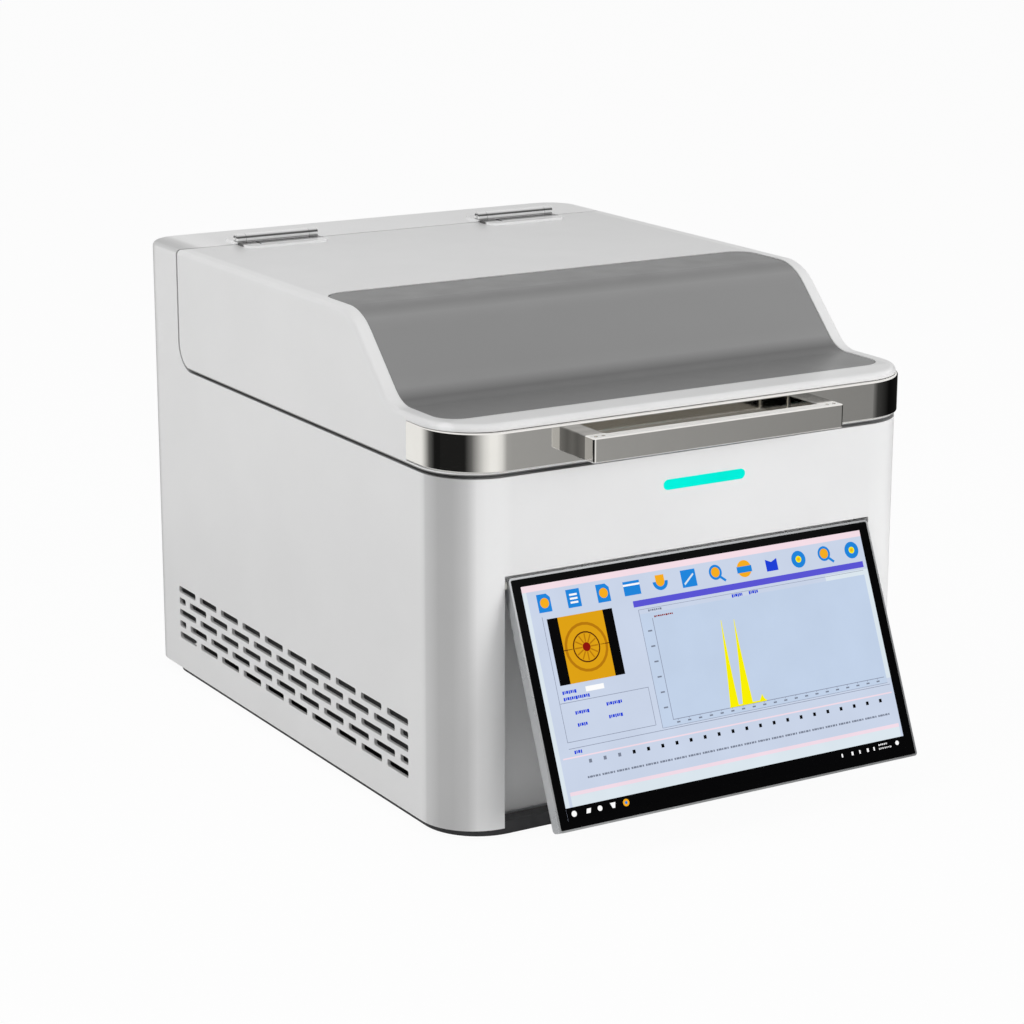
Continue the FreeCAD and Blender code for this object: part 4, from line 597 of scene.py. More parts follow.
@dataclass
class Lid:
    """White S-fronted lid with its grey cover, chrome band, handle, hinges and liner.

    Attributes:
        half_width: Half of the width over the band.
        bottom: Height of the skin's lower edge.
        seam_below: Reach of the painted seam shade below that edge.
        seam_above: Reach of the painted seam shade above it.
        fold_start: Y of the grey cover's front edge.
        fold_end: Y of its rear edge.
        bar_back: Y of the back of the handle's bar.
        band_front: Y of the chrome band's front.
        leaf_bottom: Height of the hinges' leaves.
        barrel_top: Height of the top of their barrels.
        leaf_front: Y of the front of the leaves.
        barrel_front: Y of the front of the barrels.
        rim_painted_highlight_tones: Tones across the skin, brighter along both rims.
        lip_painted_highlight_tones: Tones of the front lip, from the band to the cover.
        seam_painted_shade_tones: Tones of the seam, upwards.
        fold_painted_shade_tones: Tones of the cover's folds, from front to rear.
        arm_painted_reflection_tones: Tones of the handle's arms, from the bar to the band.
        barrel_painted_reflection_tones: Tones of the hinges, upwards.
        foot_painted_shadow_tones: Tones of the leaves, from front to rear.
    """

    half_width: float = cad_box[1].x
    bottom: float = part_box("lid_shell")[0].z
    seam_below: float = 0.0004
    seam_above: float = 0.0020
    fold_start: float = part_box("lid_front_cover")[0].y
    fold_end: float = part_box("lid_front_cover")[1].y
    bar_back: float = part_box("pull_handle")[0].y + 0.0112
    band_front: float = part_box("chrome_band")[0].y
    leaf_bottom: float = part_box("hinge_leaves")[0].z
    barrel_top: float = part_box("hinge_leaves")[1].z
    leaf_front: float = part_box("hinge_leaves")[0].y
    barrel_front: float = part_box("hinge_bases")[0].y
    # Painted highlight along both rounded rims of the skin.
    rim_painted_highlight_tones: Tones = (
        (0.003, 1.0), (0.006, 1.12), (0.024, 1.12), (0.032, 1.0),
        (0.968, 1.0), (0.976, 1.12), (0.994, 1.12), (0.997, 1.0))
    # Painted highlight on the front lip between the band and the cover.
    lip_painted_highlight_tones: Tones = ((0.0, 1.12), (0.85, 1.12), (1.0, 1.0))
    # Painted shade along the lid's lower edge, where the seam lies in shadow.
    seam_painted_shade_tones: Tones = ((0.0, 0.15), (0.40, 0.20), (0.62, 1.0))
    # Painted shade in the grey cover's folds: darker on the shelf at the front and along the upper fold at
    # the rear.
    fold_painted_shade_tones: Tones = (
        (0.0, 0.58), (0.25, 0.53), (0.33, 0.40), (0.38, 0.96), (0.42, 0.91), (0.58, 0.90), (0.62, 0.96),
        (0.67, 0.62), (0.74, 0.34), (1.0, 0.38))
    # Painted dark reflection on the handle's arms and the back of its bar, where they face the dark gap.
    arm_painted_reflection_tones: Tones = ((0.0, 1.0), (0.05, 0.34), (0.6, 0.22), (1.0, 0.30))
    # Painted reflection: bright and dark bands up the hinges, as their rounds would mirror a dark room.
    barrel_painted_reflection_tones: Tones = (
        (0.0, 1.0), (0.24, 1.0), (0.27, 0.20), (0.33, 0.30), (0.38, 1.0), (0.58, 1.0), (0.63, 0.05),
        (0.76, 0.05), (0.85, 0.70), (1.0, 1.0))
    # Painted shadow on the leaves just in front of the barrels.
    foot_painted_shadow_tones: Tones = ((0.0, 1.0), (0.42, 1.0), (0.56, 0.06), (0.97, 0.05), (1.0, 1.0))

    def dress_skin(self) -> None:
        """Give the skin its white coat and the cover its grey one, with painted highlights, seam shade and
        fold shade.
        """
        # Painted highlights along the rims and the front lip.
        rims = Shade(Axis.X, -self.half_width, self.half_width, self.rim_painted_highlight_tones)
        lip = Shade(Axis.Y, self.band_front, self.fold_start, self.lip_painted_highlight_tones)
        # Painted shade along the seam under the lid.
        seam = Shade(Axis.Z, self.bottom - self.seam_below, self.bottom + self.seam_above, self.seam_painted_shade_tones)
        skin = Coating("white_lid_skin", "E6E6E6", 0.3, texture=0.000008, shades=(rims, lip, seam))
        dress(skin.make(), "lid_shell")
        # Painted shade in the cover's folds.
        folds = Shade(Axis.Y, self.fold_start, self.fold_end, self.fold_painted_shade_tones)
        grey = Coating("grey_front_cover", "929292", 0.36, 0.000006, 1200.0, shades=(folds,))
        dress(grey.make(), "lid_front_cover")

    def dress_chrome(self) -> None:
        """Polish the band and the handle, with a painted dark reflection on the handle's arms."""
        chrome = Metal("polished_chrome", "ECEAE6", 0.05, grain_depth=0.0, tarnish=0.02)
        dress(chrome.make(), "chrome_band")
        # Painted dark reflection on the handle's arms.
        arms = Shade(Axis.Y, self.bar_back, self.band_front, self.arm_painted_reflection_tones)
        handle = Metal("polished_handle", "ECEAE6", 0.06, grain_depth=0.0, tarnish=0.02, shades=(arms,))
        dress(handle.make(), "pull_handle")

    def dress_hinges(self) -> None:
        """Plate the hinges, with painted dark reflection lines across the barrels and a painted shadow on the
        leaves by them.
        """
        # Painted reflection bands up the hinges.
        barrels = Shade(Axis.Z, self.leaf_bottom, self.barrel_top, self.barrel_painted_reflection_tones)
        # Painted shadow on the leaves by the barrels.
        feet = Shade(Axis.Y, self.leaf_front, self.barrel_front, self.foot_painted_shadow_tones)
        bases = Coating("nickel_bases", "FAFAFA", 0.18, 0.0, gloss=0.7, shades=(barrels,))
        dress(bases.make(), "hinge_bases")
        leaves = Coating("nickel_leaves", "FDFDFD", 0.18, 0.0, gloss=0.7, shades=(barrels, feet))
        dress(leaves.make(), "hinge_leaves")
        dress(Metal("plated_pins", "DADADA", 0.14).make(), "hinge_pins", "handle_screws")

    def dress(self) -> None:
        """Give each piece of the lid its finish."""
        self.dress_skin()
        self.dress_chrome()
        self.dress_hinges()
        dress(Metal("brushed_liner", "B4B5B6", 0.34, Grain.ALONG_X).make(), "lid_liner", "chamber_tray")
        dress(Metal("lead_sheet", "6A6C70", 0.6).make(), "lid_lead_shield")
        dress(Coating("seal_rubber", "202022", 0.7, 0.00004, 700.0).make(), "lid_seal")


class Ink(Enum):
    """Colours of the picture on the display."""

    PAPER = "CBD6EA"
    HAZE = "DDE8F0"
    STRIP = "F6DFE8"
    PLOT = "C3D3EA"
    LINE = "8B93A8"
    BAR = "5A55D6"
    BLUE = "1E86DD"
    DEEP = "1D3FD8"
    ORANGE = "F7AE1E"
    GOLD = "E0A312"
    AMBER = "B97A0A"
    BROWN = "5A2A08"
    RED = "8E1208"
    YELLOW = "FBF200"
    WHITE = "FFFFFF"
    BLACK = "020203"
    GREY = "7C8496"
    ROSE = "F3DDE9"


class Area(NamedTuple):
    """Rectangle of the picture, across and down from the display's upper left corner."""

    left: float
    top: float
    right: float
    bottom: float


@dataclass(frozen=True)
class Peak:
    """Peak of the spectrum.

    Attributes:
        tip: Place of the tip, across.
        foot: Place of the foot's middle, across.
        height: Height of the tip above the plot's axis.
        half_width: Half of the foot's width.
    """

    tip: float
    foot: float
    height: float
    half_width: float


@dataclass
class Display:
    """Tilted touch display: cover, bezel glass and the picture on it.

    The picture is drawn in millimetres, across and down from the display's upper left corner.

    Attributes:
        width: Width of the display.
        top_above_pivot: Height of its upper edge above the pivot, along the display.
        front_before_pivot: Distance of its front face from the pivot.
        tilt: Lean of the display at rest.
        lift: Height of each layer of the picture above the one below.
        lit: Lit area.
        bar_top: Upper edge of the dark bar at its foot.
        view: Camera view of the sample.
        sample: Middle of the sample in that view.
        plot: Plot of the spectrum.
        axis_start: Left end of its axis.
        axis_foot: Height of its axis.
        peaks: Peaks over the axis, from left to right.
        form: Box of settings under the camera view.
        table: Table of results.
        column_start: Left edge of its first column.
        column_pitch: Distance between its columns.
        button_start: Middle of the first button.
        button_pitch: Distance between the buttons.
        button_zoom: Share of their written size that the buttons have.
        line: Width of a plain line.
        inks: Colours in the order of the mesh's material numbers.
        mesh: Mesh under construction.
        middle: Point that the shapes are measured from.
        zoom: Size of the shapes, 1 for the size that is written.
    """

    width: float = 2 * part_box("display_cover")[1].x
    top_above_pivot: float = 0.0035
    front_before_pivot: float = 0.0055
    tilt: float = math.radians(23)
    lift: float = 0.00003
    lit: Area = Area(8.3, 7.0, 301.0, 171.0)
    bar_top: float = 162.0
    view: Area = Area(23.5, 32.0, 77.0, 79.0)
    sample: tuple[float, float] = (50.5, 55.5)
    plot: Area = Area(98.0, 36.6, 297.0, 121.5)
    axis_start: float = 108.0
    axis_foot: float = 116.6
    peaks: tuple[Peak, ...] = (
        Peak(164.5, 161.0, 63.0, 3.5), Peak(175.5, 172.5, 62.0, 4.3), Peak(186.0, 185.5, 5.0, 3.0))
    form: Area = Area(20.0, 91.0, 93.0, 118.4)
    table: Area = Area(14.0, 128.4, 299.0, 154.6)
    column_start: float = 34.0
    column_pitch: float = 12.0
    button_start: tuple[float, float] = (24.0, 20.6)
    button_pitch: float = 24.2
    button_zoom: float = 0.92
    line: float = 0.4
    inks: list[Ink] = field(default_factory=lambda: list(Ink))
    mesh: bmesh.types.BMesh = field(default_factory=bmesh.new)
    middle: tuple[float, float] = (0.0, 0.0)
    zoom: float = 1.0

    def place(self) -> Matrix:
        """Give the place of the display's pivot, tilted as the display is at rest."""
        pivot = Vector(JOINTS["display_tilt"]["pos_m"])
        return Matrix.Translation(pivot) @ Euler((-self.tilt, 0, 0)).to_matrix().to_4x4()

    def start_at(self, across: float = 0.0, down: float = 0.0, zoom: float = 1.0) -> None:
        """Measure what is drawn next from a point of the picture, at a size."""
        self.middle, self.zoom = (across, down), zoom

    def shape(self, ink: Ink, spots: list[tuple[float, float]], layer: float = 2) -> None:
        """Draw a flat shape.

        Args:
            ink: Colour.
            spots: Millimetres across and down of each corner, clockwise as seen.
            layer: Height above the glass, in steps.
        """
        across, down = self.middle
        corners = [((across + x * self.zoom) / 1000 - self.width / 2,
                    self.top_above_pivot - (down + y * self.zoom) / 1000) for x, y in reversed(spots)]
        panel(self.mesh, corners, -self.front_before_pivot - self.lift * layer, self.inks.index(ink))

    def patch(self, ink: Ink, left: float, top: float, right: float, bottom: float,
              layer: float = 2) -> None:
        """Draw a rectangle."""
        self.shape(ink, [(left, top), (right, top), (right, bottom), (left, bottom)], layer)

    def disc(self, ink: Ink, x: float, y: float, radius: float, layer: float = 3,
             turn: float = 360.0) -> None:
        """Draw a disc, or the part of one that a clockwise turn from three o'clock takes up.

        Args:
            ink: Colour.
            x: Millimetres across to its middle.
            y: Millimetres down to its middle.
            radius: Its radius in millimetres.
            layer: Height above the glass, in steps.
            turn: Turn in degrees.
        """
        steps = round(turn / 15)
        turns = [math.radians(turn * step / steps) for step in range(steps + (turn < 360))]
        self.shape(ink, [(x + radius * math.cos(t), y + radius * math.sin(t)) for t in turns], layer)

    def words(self, ink: Ink, x: float, y: float, length: float, height: float = 2.4) -> None:
        """Draw a row of short bars of uneven length that stands for words.

        Args:
            ink: Colour.
            x: Millimetres across to its start.
            y: Millimetres down to its upper edge.
            length: Length in millimetres that it fills.
            height: Height of the taller bars.
        """
        at, number = x, 0
        while at < x + length:
            long = (1.3, 0.8, 1.7, 1.0)[number % 4]
            tall = height if number % 3 == 0 else height * 0.85
            self.patch(ink, at, y, at + long, y + tall, 4)
            at += long + 0.45
            number += 1

    def draw_ground(self) -> None:
        """Draw the pale ground, the title strip, the bar over the plot and light edges."""
        lit = self.lit
        self.patch(Ink.PAPER, *lit, 1)
        self.patch(Ink.HAZE, lit.left, lit.top, lit.left + 3.4, self.bar_top)
        self.patch(Ink.HAZE, 262, 36, lit.right, 118, 1.5)
        self.patch(Ink.STRIP, lit.left, lit.top, lit.right, 11.5, 3)
        self.patch(Ink.BAR, 95, 30, 298, 34.5, 3)

    def draw_page_button(self) -> None:
        """Draw a page with a disc on it."""
        self.shape(Ink.BLUE, [(-5.5, -7), (3, -7), (6, -4), (6, 7), (-5.5, 7)])
        self.disc(Ink.ORANGE, 0.5, 0, 3.9)

    def draw_list_button(self) -> None:
        """Draw a page with three lines."""
        self.patch(Ink.BLUE, -6, -7, 6, 7)
        for row in (-3.6, -0.6, 2.4):
            self.patch(Ink.WHITE, -3.4, row, 3.4, row + 1.5, 3)

    def draw_window_button(self) -> None:
        """Draw a window with a light bar."""
        self.patch(Ink.BLUE, -7.5, -5.5, 7.5, 5.5)
        self.patch(Ink.WHITE, -7.5, -3.4, 7.5, -1.9, 3)

    def draw_cup_button(self) -> None:
        """Draw a round cup with a bright filling."""
        self.disc(Ink.BLUE, 0, -1.5, 7, 2, 180)
        self.patch(Ink.ORANGE, -4, -6.5, 4, -1.5, 3)
        self.disc(Ink.ORANGE, 0, -1.5, 4, 3, 180)

    def draw_lens_button(self) -> None:
        """Draw a lens with its handle."""
        self.shape(Ink.BLUE, [(2.5, 1.5), (8, 6), (6.6, 7.5), (1.2, 3.2)])
        self.disc(Ink.BLUE, -1, -1, 6)
        self.disc(Ink.ORANGE, -1, -1, 4, 4)

    def draw_chart_button(self) -> None:
        """Draw a square with a rising line."""
        self.patch(Ink.BLUE, -6.8, -6.8, 6.8, 6.8)
        self.shape(Ink.HAZE, [(-5, 3.6), (4.4, -3.6), (5, -2.4), (-4.4, 5)], 3)

    def draw_drum_button(self) -> None:
        """Draw a disc with a band across."""
        self.disc(Ink.ORANGE, 0, 0, 6.8, 2)
        self.patch(Ink.BLUE, -7, -2, 7, 3, 3)

    def draw_flag_button(self) -> None:
        """Draw a dark flag."""
        self.shape(Ink.DEEP, [(-5.5, -4), (0, -1.6), (5.5, -4), (5.5, 5.5), (-5.5, 5.5)])

    def draw_dial_button(self) -> None:
        """Draw a dial with a bright middle."""
        self.disc(Ink.BLUE, 0, 0, 6.8, 2)
        self.disc(Ink.YELLOW, 0, 0, 2.7)
        self.disc(Ink.ORANGE, 0, 0, 1.4, 4)

    def draw_buttons(self) -> None:
        """Draw the row of buttons at the top."""
        kinds = (self.draw_page_button, self.draw_list_button, self.draw_page_button,
                 self.draw_window_button, self.draw_cup_button, self.draw_chart_button,
                 self.draw_lens_button, self.draw_drum_button, self.draw_flag_button,
                 self.draw_dial_button, self.draw_lens_button, self.draw_dial_button)
        across, down = self.button_start
        for number, draw in enumerate(kinds):
            self.start_at(across + self.button_pitch * number, down, self.button_zoom)
            draw()
        self.start_at()

    def draw_sample_view(self) -> None:
        """Draw the camera view of a gilded ring on a dark stage."""
        self.patch(Ink.BLACK, *self.view)
        self.start_at(*self.sample)
        self.patch(Ink.GOLD, -18.5, -23.5, 18.5, 23.5, 3)
        rings = ((Ink.AMBER, 17.5), (Ink.GOLD, 15.5), (Ink.BROWN, 11), (Ink.GOLD, 10))
        for number, (ink, radius) in enumerate(rings):
            self.disc(ink, 0, 0, radius, 4 + number)
        for spoke in range(12):
            turn = math.radians(spoke * 30)
            along = Vector((math.cos(turn), math.sin(turn)))
            side = Vector((-math.sin(turn), math.cos(turn))) * 0.5
            inner, outer = along * 3.5, along * 9.5
            corners = (inner - side, outer - side, outer + side, inner + side)
            self.shape(Ink.AMBER, [tuple(corner) for corner in corners], 8)
        self.disc(Ink.RED, 0, 0, 3.2, 9)
        for start in (-18.5, 11.5):
            self.patch(Ink.BROWN, start, -0.3, start + 7, 0.3, 5)
        self.start_at()

    def draw_peak(self, peak: Peak) -> None:
        """Draw one peak, with flanks that steepen towards its tip.

        Args:
            peak: Place and size of the peak.
        """
        steps = 12
        shares = [math.exp(-4.6 * step / steps) for step in range(steps + 1)]
        lean = peak.tip - peak.foot
        rise = [(peak.foot + lean * (1 - share), self.axis_foot - peak.height * (1 - share))
                for share in shares]
        wide = [peak.half_width * share ** 1.35 + 0.25 for share in shares]
        for (xa, ya), (xb, yb), low, high in zip(rise, rise[1:], wide, wide[1:]):
            self.shape(Ink.YELLOW, [(xb - high, yb), (xb + high, yb), (xa + low, ya), (xa - low, ya)], 5)

    def draw_plot(self) -> None:
        """Draw the spectrum with its axes, ticks and peaks."""
        plot, start, foot = self.plot, self.axis_start, self.axis_foot
        thin, thick = 0.3, 0.5
        self.patch(Ink.PLOT, plot.left, 40, plot.right, plot.bottom)
        for area in ((plot.left, plot.top, plot.right, plot.top + thin),
                     (plot.left, plot.top, plot.left + self.line, plot.bottom),
                     (plot.left, plot.bottom - thin, plot.right, plot.bottom),
                     (start, 44, start + thick, foot),
                     (start, foot, plot.right - 2, foot + thick)):
            self.patch(Ink.LINE, *area, 3)
        for tick in range(20):
            x = start + 4 + 9.3 * tick
            self.patch(Ink.LINE, x, foot, x + self.line, foot + 1.3, 3)
            self.patch(Ink.GREY, x - 1.2, foot + 2, x + 1.6, foot + 3.1, 3)
        for tick in range(6):
            y = 52 + 11 * tick
            self.patch(Ink.GREY, start - 5.5, y, start - 2, y + 1.1, 3)
        for peak in self.peaks:
            self.draw_peak(peak)
        self.patch(Ink.YELLOW, 157, foot - 0.9, 189, foot + 0.2, 5)

    def draw_words(self) -> None:
        """Draw the short bars that stand where such a screen has its words."""
        for x, y, length in ((24, 83, 11), (24, 87.5, 20), (31, 98, 11), (57, 96, 12), (31, 106.5, 7),
                             (57, 105, 11), (178, 37.4, 9), (193, 37.2, 7), (24, 124.5, 6)):
            self.words(Ink.DEEP, x, y, length)
        self.words(Ink.GREY, 106, 37.6, 10, 1.4)
        self.words(Ink.RED, 110, 42.5, 15, 1.2)
        self.patch(Ink.WHITE, 43, 82.4, 58, 86, 3)

    def draw_form(self) -> None:
        """Draw the lines round the settings."""
        form = self.form
        for area in ((form.left, form.top, form.right, form.top + self.line),
                     (form.left, form.bottom - self.line, form.right, form.bottom),
                     (form.right, form.top, form.right + self.line, form.bottom),
                     (form.left, 30, form.left + self.line, form.bottom)):
            self.patch(Ink.LINE, *area, 3)

    def draw_table(self) -> None:
        """Draw the table of results under the plot."""
        table = self.table
        self.patch(Ink.LINE, self.form.left, 122.6, table.right, 122.6 + self.line, 3)
        self.patch(Ink.ROSE, table.left, table.top, table.right, table.top + 1, 3)
        for column in range(22):
            x = self.column_start + self.column_pitch * column
            self.patch(Ink.BLACK if column > 2 else Ink.GREY, x, 132, x + 2.4, 134.6, 4)
            for start, end in ((-3.6, -2.2), (-1.8, 0.6), (1.0, 2.2), (2.8, 5.0), (5.6, 6.8)):
                self.patch(Ink.GREY, x + start, 143.4, x + end, 144.8, 4)
        self.patch(Ink.ROSE, table.left, table.bottom - 2.6, table.right, table.bottom, 3)
        self.patch(Ink.HAZE, table.left, table.bottom, table.right, self.bar_top, 3)

    def draw_task_bar(self) -> None:
        """Draw the dark bar at the foot with a few light marks."""
        row = 166.6
        self.patch(Ink.BLACK, self.lit.left, self.bar_top, self.lit.right, self.lit.bottom, 4)
        self.disc(Ink.WHITE, 14, row, 2.1, 5)
        self.shape(Ink.WHITE, [(24.6, 165), (28, 165), (27, 168.2), (23.6, 168.2)], 5)
        self.disc(Ink.WHITE, 35, row, 1.9, 5)
        self.shape(Ink.WHITE, [(43.5, 164.6), (48, 164.6), (47, 168.4), (45, 168.4)], 5)
        self.disc(Ink.ORANGE, 56.5, row, 2.6, 5)
        self.disc(Ink.BLUE, 56.5, row, 1.1, 6)
        for mark, x in enumerate((243, 252, 259, 266, 272)):
            self.patch(Ink.WHITE, x, 165.4, x + 1.2 + 0.5 * (mark % 2), 168, 5)
        self.words(Ink.WHITE, 277, 164.2, 8, 1.2)
        self.words(Ink.WHITE, 277, 167, 11, 1.2)
        self.disc(Ink.WHITE, 294, 166, 1.6, 5)

    def draw_picture(self) -> None:
        """Draw the lit picture and let it ride on the display."""
        for draw in (self.draw_ground, self.draw_buttons, self.draw_sample_view, self.draw_plot,
                     self.draw_words, self.draw_form, self.draw_table, self.draw_task_bar):
            draw()
        finishes = [Glow(f"screen_{ink.name.lower()}", ink.value).make() for ink in self.inks]
        picture = new_piece("display_picture", self.mesh, finishes, self.place())
        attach(picture, "display")

    def dress(self) -> None:
        """Give the display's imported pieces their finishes."""
        dress(Metal("silver_display_cover", "D6D8DA", 0.3).make(), "display_cover")
        glass = Coating("black_bezel_glass", "040405", 0.08, 0.0, mottle=0.1, gloss=0.05)
        dress(glass.make(), "display_glass")
        dress(Coating("display_module", "2A2B2D", 0.4).make(), "display_panel")
        dress(Metal("pivot_pins", "C4C5C7", 0.25).make(), "display_pivot_pins")
        dress(Coating("washer_nylon", "E0DFD8", 0.5).make(), "display_washers")


@dataclass
class LightBar:
    """Cyan light bar in the front.

    Attributes:
        strength: Brightness, 1 for the plain colour.
    """

    strength: float = 1.0

    def dress(self) -> None:
        """Light the bar."""
        dress(Glow("cyan_light", "00F5E0", self.strength, edge=0.1).make(), "status_light")


@dataclass
class Rear:
    """Fans, inlet, switch and sockets behind the cabinet."""

    def dress(self) -> None:
        """Give the rear pieces their finishes, and the inner brass ones theirs."""
        fans = Coating("fan_plastic", "232325", 0.45)
        dress(fans.make(), "fan_frames", "fan_rotor_left", "fan_rotor_right")
        plastic = Coating("inlet_plastic", "161617", 0.3, 0.00003, 600.0)
        dress(plastic.make(), "power_inlet", "switch_frame", "switch_rocker")
        dress(Metal("socket_steel", "B5B6B8", 0.28).make(), "port_block")
        dress(Metal("pin_brass", "C9A25A", 0.25).make(), "inlet_pins", "board_standoffs", "filter_wheel",
              "filter_pinion", "collimator_slide", "beam_tube")


@dataclass
class Inside:
    """X-ray optics, electronics and supplies in the cabinet."""

    def dress(self) -> None:
        """Give the inner pieces their finishes."""
        aluminium = Metal("milled_aluminium", "C6C8CA", 0.33, Grain.ALONG_Y)
        dress(aluminium.make(), "optics_plate", "x_ray_detector", "collimator_guide", "tube_heat_sink",
              "window_ring")
        steel = Metal("turned_steel", "A9ABAD", 0.3)
        dress(steel.make(), "optics_pillars", "x_ray_tube", "detector_bracket", "camera_bracket",
              "lead_screw", "interlock_magnet", "power_supply")
        motors = Coating("motor_paint", "28292B", 0.4)
        dress(motors.make(), "filter_motor", "collimator_motor", "camera_module", "interlock_sensor")
        generator = Coating("generator_paint", "4B5560", 0.45, 0.00004, 500.0)
        dress(generator.make(), "high_voltage_generator")
        dress(Coating("cable_silicone", "A61E16", 0.5).make(), "high_voltage_cable")
        laminate = CircuitLaminate("circuit_laminate", "1D5B33", "2F8A4C")
        dress(laminate.make(), "main_board", "pulse_processor_board", "display_board", "status_light_board")
        dress(Film("window_film", "DDD8C4").make(), "window_film")


@dataclass(frozen=True)
class Softbox:
    """Square lamp that faces the object.

    Attributes:
        name: Name of the lamp.
        direction: Direction from the object to the lamp.
        distance: Distance between them.
        side: Length of its side.
        power: Its power in watts.
    """

    name: str
    direction: tuple[float, float, float]
    distance: float
    side: float
    power: float

    def hang(self, aim: Vector) -> None:
        """Hang the lamp where polished surfaces don't show it.

        Args:
            aim: Point that the lamp faces.
        """
        data = bpy.data.lights.new(self.name, "AREA")
        data.size = self.side
        data.energy = self.power
        away = Vector(self.direction).normalized()
        lamp = bpy.data.objects.new(self.name, data)
        lamp.location = aim + away * self.distance
        lamp.rotation_euler = away.to_track_quat("Z", "Y").to_euler()
        lamp.visible_glossy = False
        bpy.context.scene.collection.objects.link(lamp)


@dataclass
class Studio:
    """Floor, room light, lamps, reflection ring and camera.

    Attributes:
        lens: Focal length in millimetres.
        sensor: Width of the sensor in millimetres.
        camera_place: Place of the camera.
        camera_turn: Its rotation in degrees.
        camera_reach: Nearest and farthest distance that it sees.
        room_light: Brightness of the room as it lights the object.
        floor_size: Side of the floor.
        floor_tone: Tone of the floor under the shadow.
        floor_glow: Share of plain white in what the camera sees of it.
        aim: Point that the lamps face.
        softboxes: Lamps.
        ring_radius: Radius of the reflection ring.
        ring_height: Its height.
        ring_middle: Y of its middle.
        ring_steps: Number of its faces.
        ring_tones: Azimuth in degrees, 0 in front and 90 at the left, and brightness there.
        ring_blue: Share of blue against its red and green.
    """

    lens: float = 99.74
    sensor: float = 36.0
    camera_place: tuple[float, float, float] = (-1.1155, -1.8281, 0.7387)
    camera_turn: tuple[float, float, float] = (75.035, -0.08, -30.886)
    camera_reach: tuple[float, float] = (0.05, 50.0)
    room_light: float = 0.35
    floor_size: float = 60.0
    floor_tone: float = 0.86
    floor_glow: float = 0.955
    aim: tuple[float, float, float] = (0.0, 0.0, 0.18)
    softboxes: tuple[Softbox, ...] = (
        Softbox("upper_left_softbox", (-0.573, 0.0, 0.82), 2.6, 1.6, 22.5),
        Softbox("left_softbox", (-1.0, -0.05, 0.02), 3.0, 1.2, 19.0),
        Softbox("front_right_softbox", (0.6, -0.8, 0.15), 2.7, 1.4, 38.0))
    ring_radius: float = 0.85
    ring_height: float = 0.45
    ring_middle: float = -0.1
    ring_steps: int = 96
    ring_tones: Tones = (
        (-180, 0.45), (-128, 0.45), (-112, 0.01), (-75, 0.004), (-60, 0.03), (-49, 0.05), (-44, 0.24),
        (-18, 0.36), (-9, 0.38), (0, 0.80), (9, 0.97), (18, 0.97), (27, 0.78), (36, 0.45), (45, 0.14),
        (54, 0.014), (100, 0.01), (111, 0.12), (121, 0.56), (130, 0.94), (152, 0.94), (168, 0.45),
        (180, 0.45))
    ring_blue: float = 0.985

    def light_room(self) -> None:
        """Fill the room with soft light that camera, metal and glass see as white."""
        world = bpy.data.worlds.new("studio_room")
        bpy.context.scene.world = world
        world.use_nodes = True
        tree = world.node_tree
        background = tree.nodes["Background"]
        background.inputs["Color"].default_value = (1.0, 1.0, 1.0, 1.0)
        path = tree.nodes.new("ShaderNodeLightPath")
        seen = path.outputs["Is Camera Ray"]
        for name in ("Is Transmission Ray", "Is Glossy Ray"):
            either = tree.nodes.new("ShaderNodeMath")
            either.operation = "MAXIMUM"
            tree.links.new(seen, either.inputs[0])
            tree.links.new(path.outputs[name], either.inputs[1])
            seen = either.outputs[0]
        level = tree.nodes.new("ShaderNodeMapRange")
        level.inputs["To Min"].default_value = self.room_light
        level.inputs["To Max"].default_value = 1.0
        tree.links.new(seen, level.inputs["Value"])
        tree.links.new(level.outputs["Result"], background.inputs["Strength"])

    def lay_floor(self) -> None:
        """Lay a pale floor that keeps a soft shadow."""
        mesh = bmesh.new()
        bmesh.ops.create_grid(mesh, x_segments=1, y_segments=1, size=self.floor_size / 2)
        sheet = ShaderSheet("pale_floor")
        sheet.set(Base_Color=(self.floor_tone, self.floor_tone, self.floor_tone, 1.0), Roughness=0.9)
        mix = sheet.tree.nodes.new("ShaderNodeMixShader")
        path = sheet.tree.nodes.new("ShaderNodeLightPath")
        share = sheet.span(path.outputs["Is Camera Ray"], 0.0, 1.0, 0.0, self.floor_glow)
        sheet.link(share, mix.inputs["Fac"])
        sheet.link(sheet.shader.outputs["BSDF"], mix.inputs[1])
        sheet.link(sheet.glow(), mix.inputs[2])
        sheet.link(mix.outputs["Shader"], sheet.output.inputs["Surface"])
        floor = new_piece("studio_floor", mesh, [sheet.material])

    def ring_finish(self) -> bpy.types.Material:
        """Make the ring's finish: dark at both sides, bright or grey in front and behind.

        Returns:
            The ring's material.
        """
        sheet = ShaderSheet("reflection_ring")
        radial = sheet.tree.nodes.new("ShaderNodeTexGradient")
        radial.gradient_type = "RADIAL"
        sheet.link(sheet.place, radial.inputs["Vector"])
        stops = []
        for azimuth, level in self.ring_tones:
            share = ((90 - azimuth) % 360) / 360
            stops.append((share, (level, level, level * self.ring_blue, 1.0)))
        colour = sheet.ramp(radial.outputs["Fac"], *sorted(stops, key=lambda stop: stop[0]))
        sheet.link(sheet.glow(colour), sheet.output.inputs["Surface"])
        return sheet.material

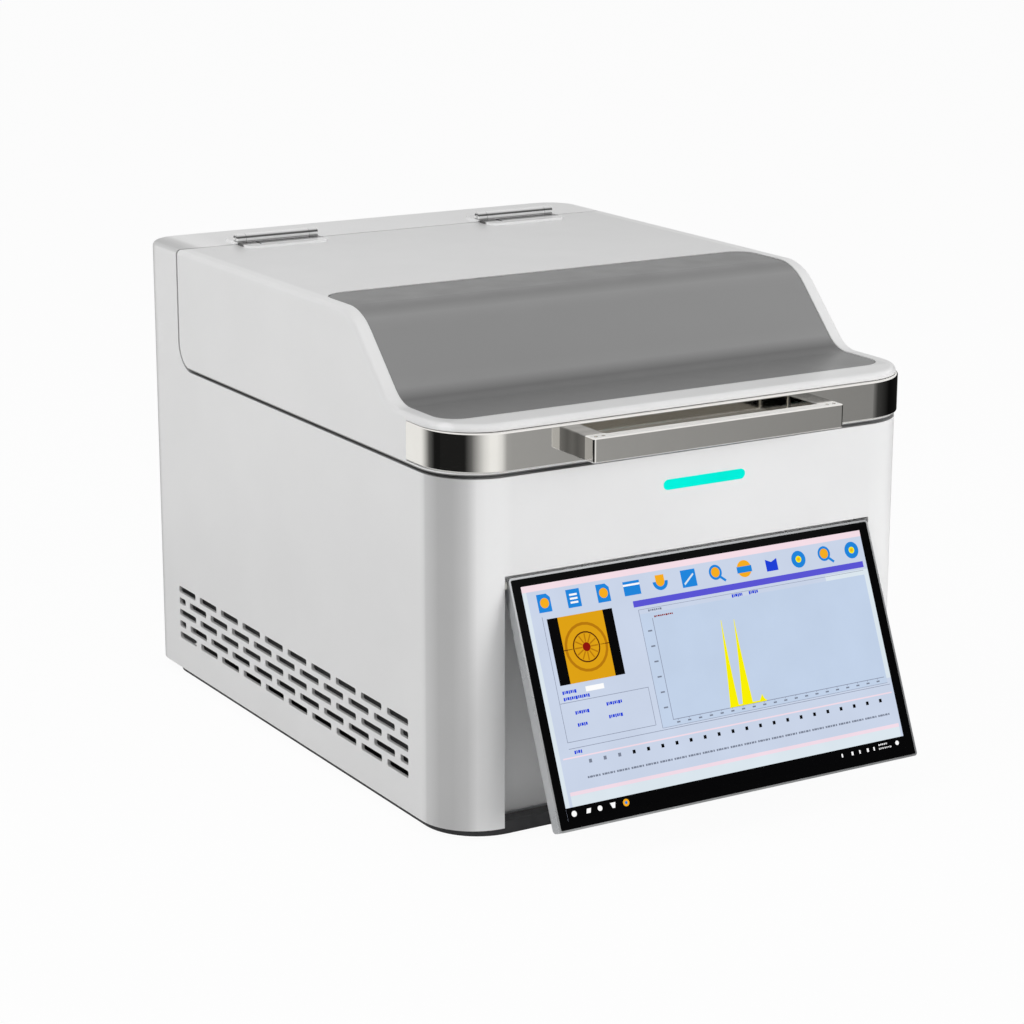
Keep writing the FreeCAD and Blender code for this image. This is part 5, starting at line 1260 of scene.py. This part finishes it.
    def stand_ring(self) -> None:
        """Stand the ring that only polished surfaces reflect."""
        mesh = bmesh.new()
        turns = [2 * math.pi * step / self.ring_steps for step in range(self.ring_steps)]
        outline = [(math.cos(turn) * self.ring_radius, math.sin(turn) * self.ring_radius) for turn in turns]
        rows = [[mesh.verts.new((x, y, height)) for x, y in outline] for height in (0.0, self.ring_height)]
        for step in range(self.ring_steps):
            after = (step + 1) % self.ring_steps
            mesh.faces.new((rows[0][step], rows[1][step], rows[1][after], rows[0][after]))
        place = Matrix.Translation((0, self.ring_middle, 0))
        ring = new_piece("reflection_ring", mesh, [self.ring_finish()], place)
        ring.visible_camera = False
        ring.visible_diffuse = False
        ring.visible_transmission = False
        ring.visible_shadow = False

    def set_camera(self) -> None:
        """Stand the camera where the solved view has it."""
        data = bpy.data.cameras.new("studio_camera")
        data.lens = self.lens
        data.sensor_width = self.sensor
        data.clip_start, data.clip_end = self.camera_reach
        camera = bpy.data.objects.new("studio_camera", data)
        camera.location = self.camera_place
        camera.rotation_euler = [math.radians(angle) for angle in self.camera_turn]
        bpy.context.scene.collection.objects.link(camera)
        bpy.context.scene.camera = camera

    def build(self) -> None:
        """Set up floor, room, ring, lamps and camera."""
        self.lay_floor()
        self.light_room()
        self.stand_ring()
        for softbox in self.softboxes:
            softbox.hang(Vector(self.aim))
        self.set_camera()
        bpy.context.scene.view_settings.view_transform = "Standard"


ROUNDED = ("cabinet_shell", "lid_shell", "lid_front_cover", "chrome_band", "pull_handle", "display_cover",
           "status_light", "hinge_bases", "hinge_leaves", "hinge_pins", "x_ray_tube", "fan_rotor_left",
           "fan_rotor_right", "rubber_feet", "base_tray", "chamber_tray", "window_ring", "high_voltage_cable")


def main() -> None:
    """Dress the instrument and set up the studio."""
    logging.basicConfig(level=logging.INFO)
    smooth(*ROUNDED)
    Cabinet().dress()
    Lid().dress()
    display = Display()
    display.dress()
    display.draw_picture()
    LightBar().dress()
    Rear().dress()
    Inside().dress()
    Studio().build()


if __name__ == "__main__":
    main()
